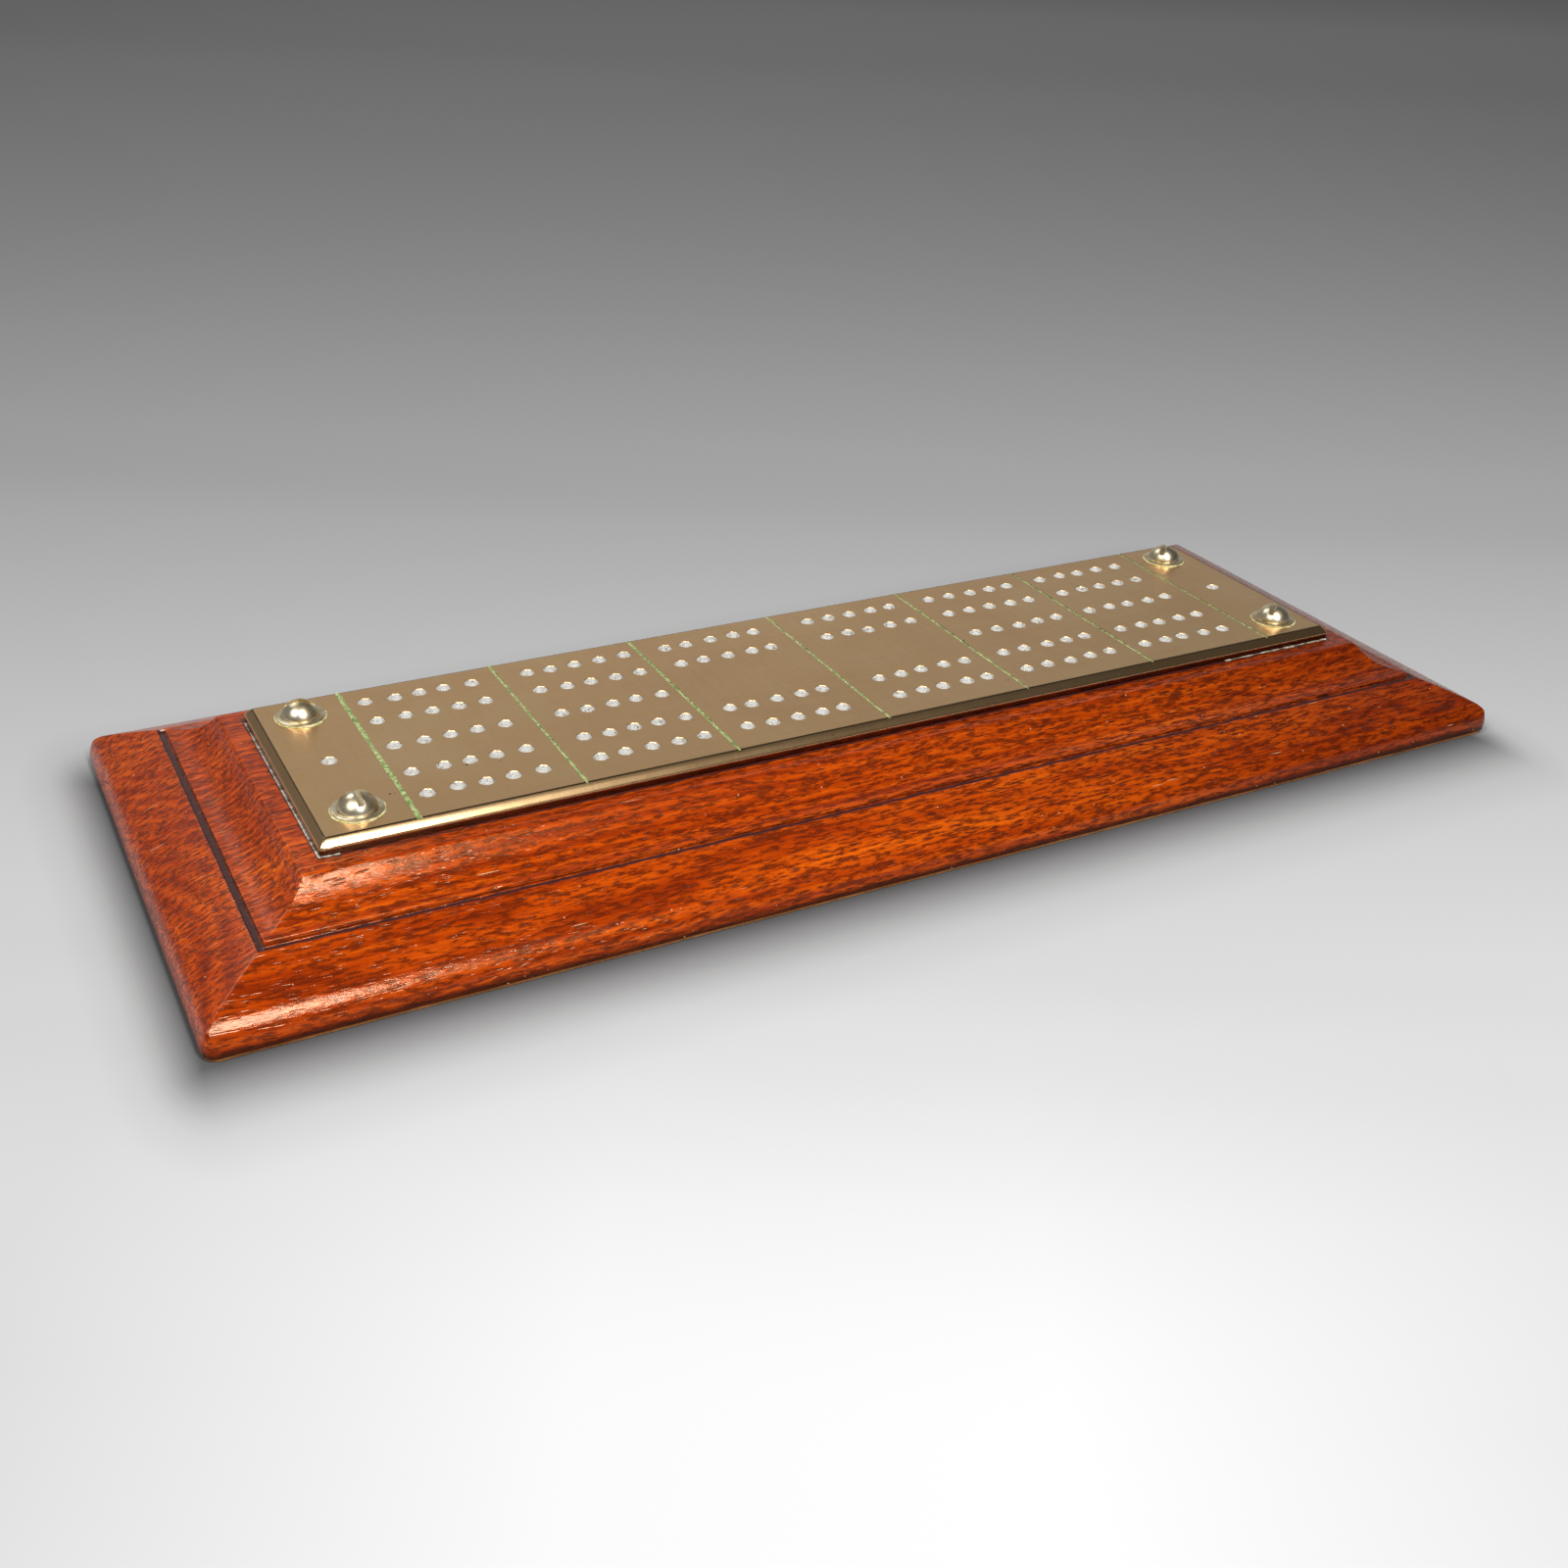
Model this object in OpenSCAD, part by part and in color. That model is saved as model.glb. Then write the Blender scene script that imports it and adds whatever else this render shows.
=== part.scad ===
// Cribbage board: a thick drilled brass plate screwed down on two moulded mahogany boards,
// over a leather pad. Millimetres. +X runs along the board, +Y to its back, +Z up.
// The origin is the middle of the pad's underside.

/* [Base board] */
// Length of the base board over its rounded nose
board_l = 317.8; // [300:0.1:340]
// Width of the base board over its rounded nose
board_w = 123.8; // [118:0.1:136]
// Thickness of the base board at its middle
base_t = 11; // [10.5:0.1:12]
// Radius of the rounded nose along the base board's edges
nose_r = 6; // [5:0.1:6.2]
// Slope of the base board's top from the quirk down to the nose, in degrees
base_slope = 22; // [18:1:24]
// Width of the quirk cut round the raised block's foot
quirk_w = 1.4; // [0.8:0.1:2]
// Depth of the quirk
quirk_depth = 0.5; // [0.2:0.1:0.8]
// Radius of the base board's and pad's upright corners
corner_r = 3; // [1:0.5:4]

/* [Raised block] */
// Distance from the base board's edge in to the raised block's foot
block_inset = 15.4; // [14.5:0.1:16.5]
// Thickness of the raised block
block_t = 6.8; // [6.5:0.1:8]
// Height of the upright foot under the cove
foot_h = 0.9; // [0.5:0.1:1.5]
// Width of the small flat on top of the foot
foot_flat = 0.6; // [0.3:0.1:1]
// Horizontal run of the cove
cove_run = 9.4; // [8:0.1:10]
// Radius of the cove's hollow
cove_r = 12; // [10:0.5:20]
// Size of the softened edge at the top of the cove
arris = 0.5; // [0.2:0.1:0.8]

/* [Brass plate] */
// Length of the plate at its foot
plate_l = 257.2; // [256:0.1:260]
// Width of the plate at its foot
plate_w = 63.2; // [62:0.1:66]
// Thickness of the plate
plate_t = 3.2; // [2.8:0.1:4]
// Size of the bevel round the plate's top
plate_bevel = 1.6; // [0.5:0.1:2]
// Radius of the worn corner at the back right of the plate
worn_corner_r = 5; // [3:0.5:6]
// Width of the lines ruled across the plate
line_w = 0.8; // [0.4:0.1:1.2]
// Depth of the ruled lines
line_depth = 0.3; // [0.1:0.05:0.5]

/* [Peg holes] */
// Diameter of a peg hole
peg_hole_d = 3.4; // [3:0.1:3.8]
// Depth of a peg hole in the wood under the plate
peg_hole_depth = 6; // [4:0.5:6]
// Distance between neighbouring ruled lines
section_pitch = 36.4; // [35.8:0.1:36.6]
// Holes in one row of a section
holes_in_row = 5; // [3:1:5]
// Distance between the holes of a row
hole_pitch = 6; // [5.6:0.1:6.1]
// Distance of the inner rows from the middle row
inner_row = 12.5; // [9:0.1:14]
// Distance of the outer rows from the middle row
outer_row = 22.2; // [21:0.1:23]
// How far all the rows lie behind the plate's centre line
row_shift = 1.1; // [0:0.1:1.5]
// Distance of the two end holes from the plate's centre
end_hole_x = 118; // [116:0.1:119]
// Most that a hand-drilled hole strays along the board
stray = 0.6; // [0:0.05:0.7]

/* [Screws and washers] */
// Distance of the screws from the plate's centre, along the board
screw_x = 118.3; // [117:0.1:119]
// Distance of the screws from the plate's centre, across the board
screw_y = 22; // [21:0.1:23]
// Diameter of a screw's head
head_d = 8.4; // [7.8:0.1:9]
// Height of a screw's head
head_h = 3.3; // [2.8:0.1:3.8]
// Width of the driver slot
slot_w = 1.3; // [1:0.1:1.6]
// Depth of the driver slot
slot_depth = 1.6; // [1:0.1:2]
// Diameter of the screw's plain shank
shank_d = 4.5; // [4:0.1:4.8]
// Diameter of the screw's threaded part
thread_d = 4.2; // [3.6:0.1:4.4]
// Length of the plain shank
shank_l = 6; // [5:0.5:8]
// Length of the screw under its head
screw_l = 19; // [16:0.5:20]
// Outer diameter of a washer
washer_d = 10.6; // [10:0.1:12]
// Thickness of a washer
washer_t = 0.7; // [0.5:0.1:1]

/* [Pad] */
// Thickness of the leather pad
pad_t = 1; // [0.8:0.1:1.5]
// Distance from the base board's edge in to the pad's edge
pad_inset = 0.5; // [0.4:0.1:1.5]

/* [Hidden] */
$fn = 64;
eps = 0.01;
sections = 6; // sections of holes between the ruled lines
hole_room = 0.1; // radial room for a screw in the wood
plate_hole_room = 0.3; // radial room for a screw in the plate and washer
washer_edge = 0.2; // chamfer round a washer
slot_angles = [-88, 32, 35, -18]; // turn of each driver slot from +X
line_strays = [1, 0, -1.5, -0.5, 0.5, 0.5, 0]; // how far each ruled line lies off its even place
section_strays = [-0.5, 0.5, -1, 1.5, 0.5, -1]; // how far each section of holes lies off its even place

// Heights of the layers
base_top = pad_t + base_t;
block_top = base_top + block_t;
plate_top = block_top + plate_t;
head_base = plate_top + washer_t;

// Sizes of the raised block's foot, and the layout of lines and holes
block_l = board_l - 2 * block_inset;
block_w = board_w - 2 * block_inset;
ruled_lines = sections + 1;
middle_hole = (holes_in_row - 1) / 2;

// Corners, in order: front left, front right, back right, back left
CORNERS = ["front_left", "front_right", "back_right", "back_left"];
corner_signs = [[-1, -1], [1, -1], [1, 1], [-1, 1]];

// Repeatable scatter from -1 to 1, one value for each whole number n
function scatter(n) = let (s = 43.76 * sin(78.2 * n)) 2 * (s - floor(s)) - 1;

// The rows of a section, by their distance from the middle row; the two middle sections have no middle row
function rows(section) =
    (section == sections / 2 - 1 || section == sections / 2)
    ? [-outer_row, -inner_row, inner_row, outer_row]
    : [-outer_row, -inner_row, 0, inner_row, outer_row];

function section_x(section) = (section - (sections - 1) / 2) * section_pitch + section_strays[section];

function line_x(line) = (line - sections / 2) * section_pitch + line_strays[line];

// Centre of one drilled hole, with its column's stray and its own
function hole_place(section, column, y) =
    let (column_n = section * holes_in_row + column, hole_n = 40 + column_n * 7 + round(y))
    [section_x(section) + (column - middle_hole) * hole_pitch
        + stray * (0.6 * scatter(column_n) + 0.4 * scatter(hole_n)),
     row_shift + y + 0.5 * stray * scatter(hole_n + 1)];

peg_holes = concat(
    [[-end_hole_x, 0], [end_hole_x, row_shift]],
    [for (section = [0:sections - 1]) for (y = rows(section)) for (column = [0:holes_in_row - 1])
        hole_place(section, column, y)]
);

screw_places = [for (s = corner_signs) [s[0] * screw_x, s[1] * screw_y]];

// Outline of a board l long and w wide, with rounded corners
module board_outline(l, w) {
    square([l - 2 * corner_r, w], center = true);
    square([l, w - 2 * corner_r], center = true);
    for (s = corner_signs)
        translate([s[0] * (l / 2 - corner_r), s[1] * (w / 2 - corner_r)]) circle(corner_r);
}

// A moulded board with mitred corners: the same edge section along its length and across its width.
// Child 0 is the section for the length, and child 1 the section for the width.
module mitred() {
    intersection() {
        rotate([90, 0, 0]) linear_extrude(board_w + 2, center = true) children(0);
        rotate([90, 0, 90]) linear_extrude(board_l + 2, center = true) children(1);
    }
}

// Section of the base board, w wide over its nose: a top that slopes from the quirk, and a round nose
module base_section(w) {
    nose_x = w / 2 - nose_r;
    quirk_x = w / 2 - block_inset + quirk_w;
    // The sloping top runs into the nose without a crease
    nose_z = base_top - tan(base_slope) * (nose_x - quirk_x) - nose_r / cos(base_slope);
    meet_x = nose_x + nose_r * sin(base_slope);
    meet_z = nose_z + nose_r * cos(base_slope);
    intersection() {
        union() {
            polygon([
                [-nose_x, 0], [nose_x, 0], [nose_x, nose_z], [meet_x, meet_z], [quirk_x, base_top],
                [-quirk_x, base_top], [-meet_x, meet_z], [-nose_x, nose_z]
            ]);
            for (side = [-1, 1])
                translate([side * nose_x, nose_z]) circle(nose_r);
        }
        translate([-w / 2, pad_t]) square([w, base_t]);
    }
}

// Section of the raised block, w wide at its foot: an upright foot, a small flat, a cove and a soft edge
module block_section(w) {
    flat_x = w / 2 - foot_flat;
    top_x = flat_x - cove_run;
    flat_z = base_top + foot_h;
    rise = block_t - foot_h;
    chord = norm([cove_run, rise]);
    // The hollow's centre lies outside the block, square to the middle of the chord
    reach = sqrt(pow(cove_r, 2) - pow(chord / 2, 2)) / chord;
    centre_x = (flat_x + top_x) / 2 + rise * reach;
    centre_z = flat_z + rise / 2 + cove_run * reach;
    difference() {
        polygon([
            [-w / 2, base_top], [w / 2, base_top], [w / 2, flat_z], [flat_x, flat_z],
            [top_x - arris * 0.4, block_top - arris * 0.6], [top_x - arris, block_top],
            [-top_x + arris, block_top], [-top_x + arris * 0.4, block_top - arris * 0.6],
            [-flat_x, flat_z], [-w / 2, flat_z]
        ]);
        for (side = [-1, 1])
            translate([side * centre_x, centre_z]) circle(cove_r, $fn = 128);
    }
}

// Section of the brass plate, w wide at its foot, with a bevel round the top
module plate_section(w) {
    polygon([
        [-w / 2, block_top], [w / 2, block_top], [w / 2, plate_top - plate_bevel],
        [w / 2 - plate_bevel, plate_top], [plate_bevel - w / 2, plate_top],
        [-w / 2, plate_top - plate_bevel]
    ]);
}

// What is cut away to round the plate's worn corner
module worn_corner() {
    translate([plate_l / 2 - worn_corner_r, plate_w / 2 - worn_corner_r, block_top - 1])
        difference() {
            cube([worn_corner_r + 1, worn_corner_r + 1, plate_t + 2]);
            translate([0, 0, -1]) cylinder(h = plate_t + 4, r = worn_corner_r);
        }
}

module peg_hole_drills(from_z, to_z) {
    for (p = peg_holes)
        translate([p[0], p[1], from_z]) cylinder(h = to_z - from_z, d = peg_hole_d);
}

module screw_drills(from_z, to_z, r) {
    for (p = screw_places)
        translate([p[0], p[1], from_z]) cylinder(h = to_z - from_z, r = r);
}

module base_board() color("sienna") difference() {
    intersection() {
        mitred() {
            base_section(board_l);
            base_section(board_w);
        }
        linear_extrude(base_top + 1) board_outline(board_l, board_w);
    }
    // Quirk round the raised block's foot
    difference() {
        translate([-block_l / 2 - quirk_w, -block_w / 2 - quirk_w, base_top - quirk_depth])
            cube([block_l + 2 * quirk_w, block_w + 2 * quirk_w, quirk_depth + 1]);
        translate([-block_l / 2, -block_w / 2, 0]) cube([block_l, block_w, base_top + 2]);
    }
    screw_drills(head_base - screw_l, base_top + 1, thread_d / 2 + hole_room);
}

module raised_block() color("chocolate") difference() {
    mitred() {
        block_section(block_l);
        block_section(block_w);
    }
    peg_hole_drills(block_top - peg_hole_depth, block_top + 1);
    screw_drills(base_top - 1, block_top + 1, shank_d / 2 + hole_room);
}

module brass_plate() color("peru") difference() {
    mitred() {
        plate_section(plate_l);
        plate_section(plate_w);
    }
    worn_corner();
    peg_hole_drills(block_top - 1, plate_top + 1);
    screw_drills(block_top - 1, plate_top + 1, shank_d / 2 + plate_hole_room);
    for (i = [0:ruled_lines - 1])
        translate([line_x(i) - line_w / 2, -plate_w / 2 - 1, plate_top - line_depth])
            cube([line_w, plate_w + 2, line_depth + 1]);
}

module base_pad() color("burlywood")
    linear_extrude(pad_t) board_outline(board_l - 2 * pad_inset, board_w - 2 * pad_inset);

module washer(corner) color("gold") {
    outer_r = washer_d / 2;
    inner_r = shank_d / 2 + plate_hole_room;
    translate([screw_places[corner][0], screw_places[corner][1], plate_top])
        rotate_extrude() polygon([
            [inner_r, 0], [outer_r, 0], [outer_r, washer_t - washer_edge],
            [outer_r - washer_edge, washer_t], [inner_r, washer_t]
        ]);
}

// Round-headed slotted wood screw, its thread drawn plain
module wood_screw(corner) color("gold") {
    dome_r = (pow(head_d / 2, 2) + pow(head_h, 2)) / (2 * head_h);
    thread_r = thread_d / 2;
    tip_l = 3;
    translate([screw_places[corner][0], screw_places[corner][1], head_base]) {
        difference() {
            intersection() {
                translate([0, 0, head_h - dome_r]) sphere(dome_r);
                cylinder(h = head_h, d = head_d + 1);
            }
            rotate(slot_angles[corner])
                translate([-head_d, -slot_w / 2, head_h - slot_depth])
                    cube([2 * head_d, slot_w, slot_depth + 1]);
        }
        translate([0, 0, -shank_l]) cylinder(h = shank_l + eps, d = shank_d);
        translate([0, 0, tip_l - screw_l]) cylinder(h = screw_l - tip_l - shank_l + eps, r = thread_r);
        translate([0, 0, -screw_l]) cylinder(h = tip_l, r1 = 0.3, r2 = thread_r);
    }
}

base_board();
raised_block();
brass_plate();
base_pad();
for (i = [0:3]) {
    washer(i);
    wood_screw(i);
}
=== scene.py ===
"""A cribbage board: a drilled brass plate screwed on two moulded mahogany boards, over a leather pad."""
import math
import bmesh
import bpy
from mathutils import Matrix, Quaternion, Vector, kdtree, noise


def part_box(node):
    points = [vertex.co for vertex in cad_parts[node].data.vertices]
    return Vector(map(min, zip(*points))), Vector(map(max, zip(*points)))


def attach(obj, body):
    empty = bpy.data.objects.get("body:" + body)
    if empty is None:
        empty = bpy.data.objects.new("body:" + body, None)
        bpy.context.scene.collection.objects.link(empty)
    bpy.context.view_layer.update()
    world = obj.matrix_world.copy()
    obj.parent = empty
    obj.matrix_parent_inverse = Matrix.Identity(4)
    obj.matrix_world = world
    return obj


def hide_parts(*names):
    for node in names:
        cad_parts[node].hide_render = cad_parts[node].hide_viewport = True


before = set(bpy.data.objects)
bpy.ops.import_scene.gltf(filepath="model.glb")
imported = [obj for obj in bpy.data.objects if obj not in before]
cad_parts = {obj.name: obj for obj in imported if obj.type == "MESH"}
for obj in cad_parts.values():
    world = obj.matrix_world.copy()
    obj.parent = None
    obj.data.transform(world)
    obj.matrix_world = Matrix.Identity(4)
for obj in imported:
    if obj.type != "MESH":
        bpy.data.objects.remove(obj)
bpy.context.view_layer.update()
MM = 0.001
SAME_PLACE = 0.001 * MM      # points nearer than this are one point
SAME_HEIGHT = 0.02 * MM      # heights nearer than this are level

# ------------------------------------------------------------------ camera and stage

CAMERA_PLACE = Vector((-0.1887, -0.3213, 0.1969))
CAMERA_TARGET = Vector((-0.0276, -0.0316, 0.012))
CAMERA_ROLL = math.radians(2.46)
CAMERA_LENS = 39.93
VIEW_TURN = math.radians(29.1)            # the way the camera looks, from straight back
FLOOR_HALF = 6.0
HALO_EDGE = (0.156, 0.056, 0)             # where the shade round the board begins
COLOR_A, COLOR_B, COLOR_OUT = 6, 7, 2     # a Mix node's sockets when it mixes colours
# Painted shade of the floor's paper by its distance back from the board's middle, in metres; the greyer
# paper stands in for light falling off
FLOOR_SHADES = ((-0.225, 0.735), (-0.2, 0.747), (-0.175, 0.734), (-0.153, 0.702), (-0.127, 0.645),
                (-0.1, 0.6), (0.145, 0.441), (0.233, 0.414), (0.366, 0.385), (0.558, 0.364),
                (0.864, 0.378), (1.095, 0.407), (1.423, 0.461), (1.861, 0.583))
# Share of the light left on the paper, by its distance out from the board's foot, in metres
HALO_SHADES = ((0.0, 0.18), (0.003, 0.31), (0.0078, 0.5), (0.0138, 0.76), (0.0196, 0.9), (0.032, 1.0))


def add_object(name, data):
    piece = bpy.data.objects.new(name, data)
    bpy.context.collection.objects.link(piece)
    return piece


def make_camera():
    camera = add_object("camera", bpy.data.cameras.new("camera"))
    camera.data.lens = CAMERA_LENS
    camera.data.sensor_width = 36
    camera.data.clip_start = 0.01
    camera.location = CAMERA_PLACE
    camera.rotation_mode = "QUATERNION"
    aim = (CAMERA_TARGET - CAMERA_PLACE).to_track_quat("-Z", "Y")
    camera.rotation_quaternion = aim @ Quaternion((0, 0, 1), CAMERA_ROLL)
    bpy.context.scene.camera = camera


def lay_out(tree, groups):
    """Frames the nodes of each titled group, side by side."""
    for column, (title, members) in enumerate(groups):
        box = tree.nodes.new("NodeFrame")
        box.label = title
        for row, node in enumerate(members):
            node.parent = box
            node.location = (column * 280, -row * 260)


def set_values(node, values):
    """Sets a node's sockets, by name or number, to fixed values."""
    for socket, value in values.items():
        node.inputs[socket].default_value = value


def set_stops(ramp, stops):
    """Puts (position, colour) stops on a colour ramp node."""
    for position, color in stops[1:-1]:
        ramp.color_ramp.elements.new(position)
    for element, (position, color) in zip(ramp.color_ramp.elements, stops):
        element.position = position
        element.color = (*color, 1)


def new_material(name, surface, result):
    """A material with its shader and output, labelled."""
    material = bpy.data.materials.new(name)
    material.use_nodes = True
    shader = material.node_tree.nodes["Principled BSDF"]
    shader.label = surface
    output = material.node_tree.nodes["Material Output"]
    output.label = result
    return material, shader, output


def floor_paper():
    """Pale paper that fades to grey behind the board and is shaded close round it, all painted shade: a
    fade with distance, greyer front corners, a paler right side and a painted shadow round the board.
    """
    material, paper, output = new_material("floor_paper", "Matt paper", "Floor surface")
    tree = material.node_tree
    nodes, links = tree.nodes, tree.links
    set_values(paper, {"Roughness": 0.9, "Specular IOR Level": 0.1})
    place = nodes.new("ShaderNodeTexCoord")
    place.label = "Place on the floor"
    turn = nodes.new("ShaderNodeMapping")
    turn.label = "Turn to run away from the viewer"
    set_values(turn, {"Rotation": (0, 0, VIEW_TURN)})
    apart = nodes.new("ShaderNodeSeparateXYZ")
    apart.label = "Distance back"
    reach = nodes.new("ShaderNodeMapRange")
    reach.label = "From the front to far behind"
    nearest, farthest = FLOOR_SHADES[0][0], FLOOR_SHADES[-1][0]
    set_values(reach, {"From Min": nearest, "From Max": farthest})
    # Painted shade: the paper greys with distance back, standing in for the light falling off
    fade = nodes.new("ShaderNodeValToRGB")
    fade.label = "Fade to grey"
    fade.color_ramp.interpolation = "CARDINAL"
    depth = farthest - nearest
    set_stops(fade, [((back - nearest) / depth, (shade,) * 3) for back, shade in FLOOR_SHADES])
    # Painted shade: the paper is greyed in the front corners
    sideways = nodes.new("ShaderNodeMath")
    sideways.label = "Either side of the view"
    sideways.operation = "ABSOLUTE"
    corner = nodes.new("ShaderNodeMapRange")
    corner.label = "Towards the sides"
    set_values(corner, {"From Min": 0.035, "From Max": 0.125, "To Max": 0.3})
    in_front = nodes.new("ShaderNodeMapRange")
    in_front.label = "In front of the board"
    set_values(in_front, {"From Min": -0.08, "From Max": -0.2})
    corner_share = nodes.new("ShaderNodeMath")
    corner_share.label = "Front corners"
    corner_share.operation = "MULTIPLY"
    greyed = nodes.new("ShaderNodeMix")
    greyed.label = "Greyer front corners"
    greyed.data_type = "RGBA"
    set_values(greyed, {COLOR_B: (0.2, 0.2, 0.2, 1)})
    shifted = nodes.new("ShaderNodeVectorMath")
    shifted.label = "More shade in front and to the left"
    shifted.operation = "ADD"
    set_values(shifted, {1: (0.003, 0.006, 0)})
    across = nodes.new("ShaderNodeVectorMath")
    across.label = "Either side of the middle"
    across.operation = "ABSOLUTE"
    past = nodes.new("ShaderNodeVectorMath")
    past.label = "Past the board's edges"
    past.operation = "SUBTRACT"
    set_values(past, {1: HALO_EDGE})
    outside = nodes.new("ShaderNodeVectorMath")
    outside.label = "Outside only"
    outside.operation = "MAXIMUM"
    narrowed = nodes.new("ShaderNodeVectorMath")
    narrowed.label = "Narrower at the ends"
    narrowed.operation = "MULTIPLY"
    set_values(narrowed, {1: (1.9, 1, 1)})
    away = nodes.new("ShaderNodeVectorMath")
    away.label = "Distance from the board"
    away.operation = "LENGTH"
    halo = nodes.new("ShaderNodeValToRGB")
    halo.label = "Soft shade round the board"
    set_stops(halo, [(out, (shade,) * 3) for out, shade in HALO_SHADES])
    # Painted light and shade: the paper is paler to the right and darker to the left
    side_shade = nodes.new("ShaderNodeMapRange")
    side_shade.label = "Paler towards the right"
    set_values(side_shade, {"From Min": -0.8, "From Max": 0.8, "To Min": 0.8, "To Max": 1.2})
    sided = nodes.new("ShaderNodeVectorMath")
    sided.label = "Shade from side to side"
    sided.operation = "SCALE"
    shaded = nodes.new("ShaderNodeMix")
    shaded.label = "Shaded paper"
    shaded.data_type = "RGBA"
    shaded.blend_type = "MULTIPLY"
    set_values(shaded, {"Factor": 1})
    links.new(place.outputs["Object"], turn.inputs["Vector"])
    links.new(turn.outputs["Vector"], apart.inputs["Vector"])
    links.new(apart.outputs["Y"], reach.inputs["Value"])
    links.new(reach.outputs["Result"], fade.inputs["Fac"])
    links.new(place.outputs["Object"], shifted.inputs[0])
    links.new(shifted.outputs["Vector"], across.inputs[0])
    links.new(across.outputs["Vector"], past.inputs[0])
    links.new(past.outputs["Vector"], outside.inputs[0])
    links.new(outside.outputs["Vector"], narrowed.inputs[0])
    links.new(narrowed.outputs["Vector"], away.inputs[0])
    links.new(away.outputs["Value"], halo.inputs["Fac"])
    links.new(apart.outputs["X"], sideways.inputs[0])
    links.new(sideways.outputs["Value"], corner.inputs["Value"])
    links.new(apart.outputs["Y"], in_front.inputs["Value"])
    links.new(corner.outputs["Result"], corner_share.inputs[0])
    links.new(in_front.outputs["Result"], corner_share.inputs[1])
    links.new(corner_share.outputs["Value"], greyed.inputs["Factor"])
    links.new(fade.outputs["Color"], greyed.inputs[COLOR_A])
    links.new(apart.outputs["X"], side_shade.inputs["Value"])
    links.new(greyed.outputs[COLOR_OUT], sided.inputs[0])
    links.new(side_shade.outputs["Result"], sided.inputs["Scale"])
    links.new(sided.outputs["Vector"], shaded.inputs[COLOR_A])
    links.new(halo.outputs["Color"], shaded.inputs[COLOR_B])
    links.new(shaded.outputs[COLOR_OUT], paper.inputs["Base Color"])
    lay_out(tree, (("Distance back", (place, turn, apart, reach, fade)),
                   ("Front corners", (sideways, corner, in_front, corner_share, greyed)),
                   ("Shade round the board", (shifted, across, past, outside, narrowed, away, halo)),
                   ("Paper", (side_shade, sided, shaded, paper, output))))
    return material


def soft_box(name, place, target, width, height, power):
    light = bpy.data.lights.new(name, "AREA")
    light.shape = "RECTANGLE"
    light.size = width
    light.size_y = height
    light.energy = power
    lamp = add_object(name, light)
    lamp.location = place
    lamp.rotation_mode = "QUATERNION"
    lamp.rotation_quaternion = (Vector(target) - Vector(place)).to_track_quat("-Z", "Y")


def studio_air():
    """A dark room with a paler wall behind the board, to the right of its middle."""
    world = bpy.data.worlds.new("studio")
    bpy.context.scene.world = world
    world.use_nodes = True
    nodes = world.node_tree.nodes
    links = world.node_tree.links
    room = nodes["Background"]
    room.label = "Room"
    place = nodes.new("ShaderNodeTexCoord")
    place.label = "Direction"
    apart = nodes.new("ShaderNodeSeparateXYZ")
    apart.label = "Sideways, back and up"
    sideways = nodes.new("ShaderNodeMapRange")
    sideways.label = "From the left to the right"
    set_values(sideways, {"From Min": -1})
    wall = nodes.new("ShaderNodeValToRGB")
    wall.label = "Pale wall"
    wall.color_ramp.interpolation = "B_SPLINE"
    stops = ((0.0, 0.18), (0.3, 0.14), (0.46, 0.18), (0.6, 0.49), (0.72, 0.51), (0.85, 0.31), (1.0, 0.18))
    set_stops(wall, [(position, (shade,) * 3) for position, shade in stops])
    height = nodes.new("ShaderNodeMapRange")
    height.label = "Wall fades upwards"
    set_values(height, {"From Min": 0.42, "From Max": 0.75, "To Min": 1, "To Max": 0})
    behind = nodes.new("ShaderNodeMapRange")
    behind.label = "Wall is behind the board"
    set_values(behind, {"From Min": -0.1, "From Max": 0.4})
    share = nodes.new("ShaderNodeMath")
    share.label = "Where the wall shows"
    share.operation = "MULTIPLY"
    mixed = nodes.new("ShaderNodeMix")
    mixed.label = "Dim room and pale wall"
    mixed.data_type = "RGBA"
    set_values(mixed, {COLOR_A: (0.045, 0.043, 0.043, 1)})
    links.new(place.outputs["Generated"], apart.inputs["Vector"])
    links.new(apart.outputs["X"], sideways.inputs["Value"])
    links.new(sideways.outputs["Result"], wall.inputs["Fac"])
    links.new(apart.outputs["Z"], height.inputs["Value"])
    links.new(apart.outputs["Y"], behind.inputs["Value"])
    links.new(height.outputs["Result"], share.inputs[0])
    links.new(behind.outputs["Result"], share.inputs[1])
    links.new(share.outputs["Value"], mixed.inputs["Factor"])
    links.new(wall.outputs["Color"], mixed.inputs[COLOR_B])
    links.new(mixed.outputs[COLOR_OUT], room.inputs["Color"])
    lay_out(world.node_tree, (("Direction", (place, apart)),
                              ("Wall", (sideways, wall, height, behind, share)),
                              ("Room", (mixed, room))))


def make_stage():
    bpy.context.scene.view_settings.view_transform = "Standard"
    mesh = bpy.data.meshes.new("floor")
    corners = [(x * FLOOR_HALF, y * FLOOR_HALF, 0) for x, y in ((-1, -1), (1, -1), (1, 1), (-1, 1))]
    mesh.from_pydata(corners, [], [(0, 1, 2, 3)])
    floor = add_object("floor", mesh)
    mesh.materials.append(floor_paper())
    studio_air()
    soft_box("key_light", (-0.02, -0.72, 0.85), (-0.05, 0, 0), 0.15, 0.6, 10)
    soft_box("left_light", (-0.95, -0.4, 1.2), (0, 0, 0), 0.6, 0.6, 11.5)
    soft_box("back_light", (-0.5, 1.3, 1.5), (0, 0.4, 0), 0.8, 0.8, 5)


make_camera()
make_stage()

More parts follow.
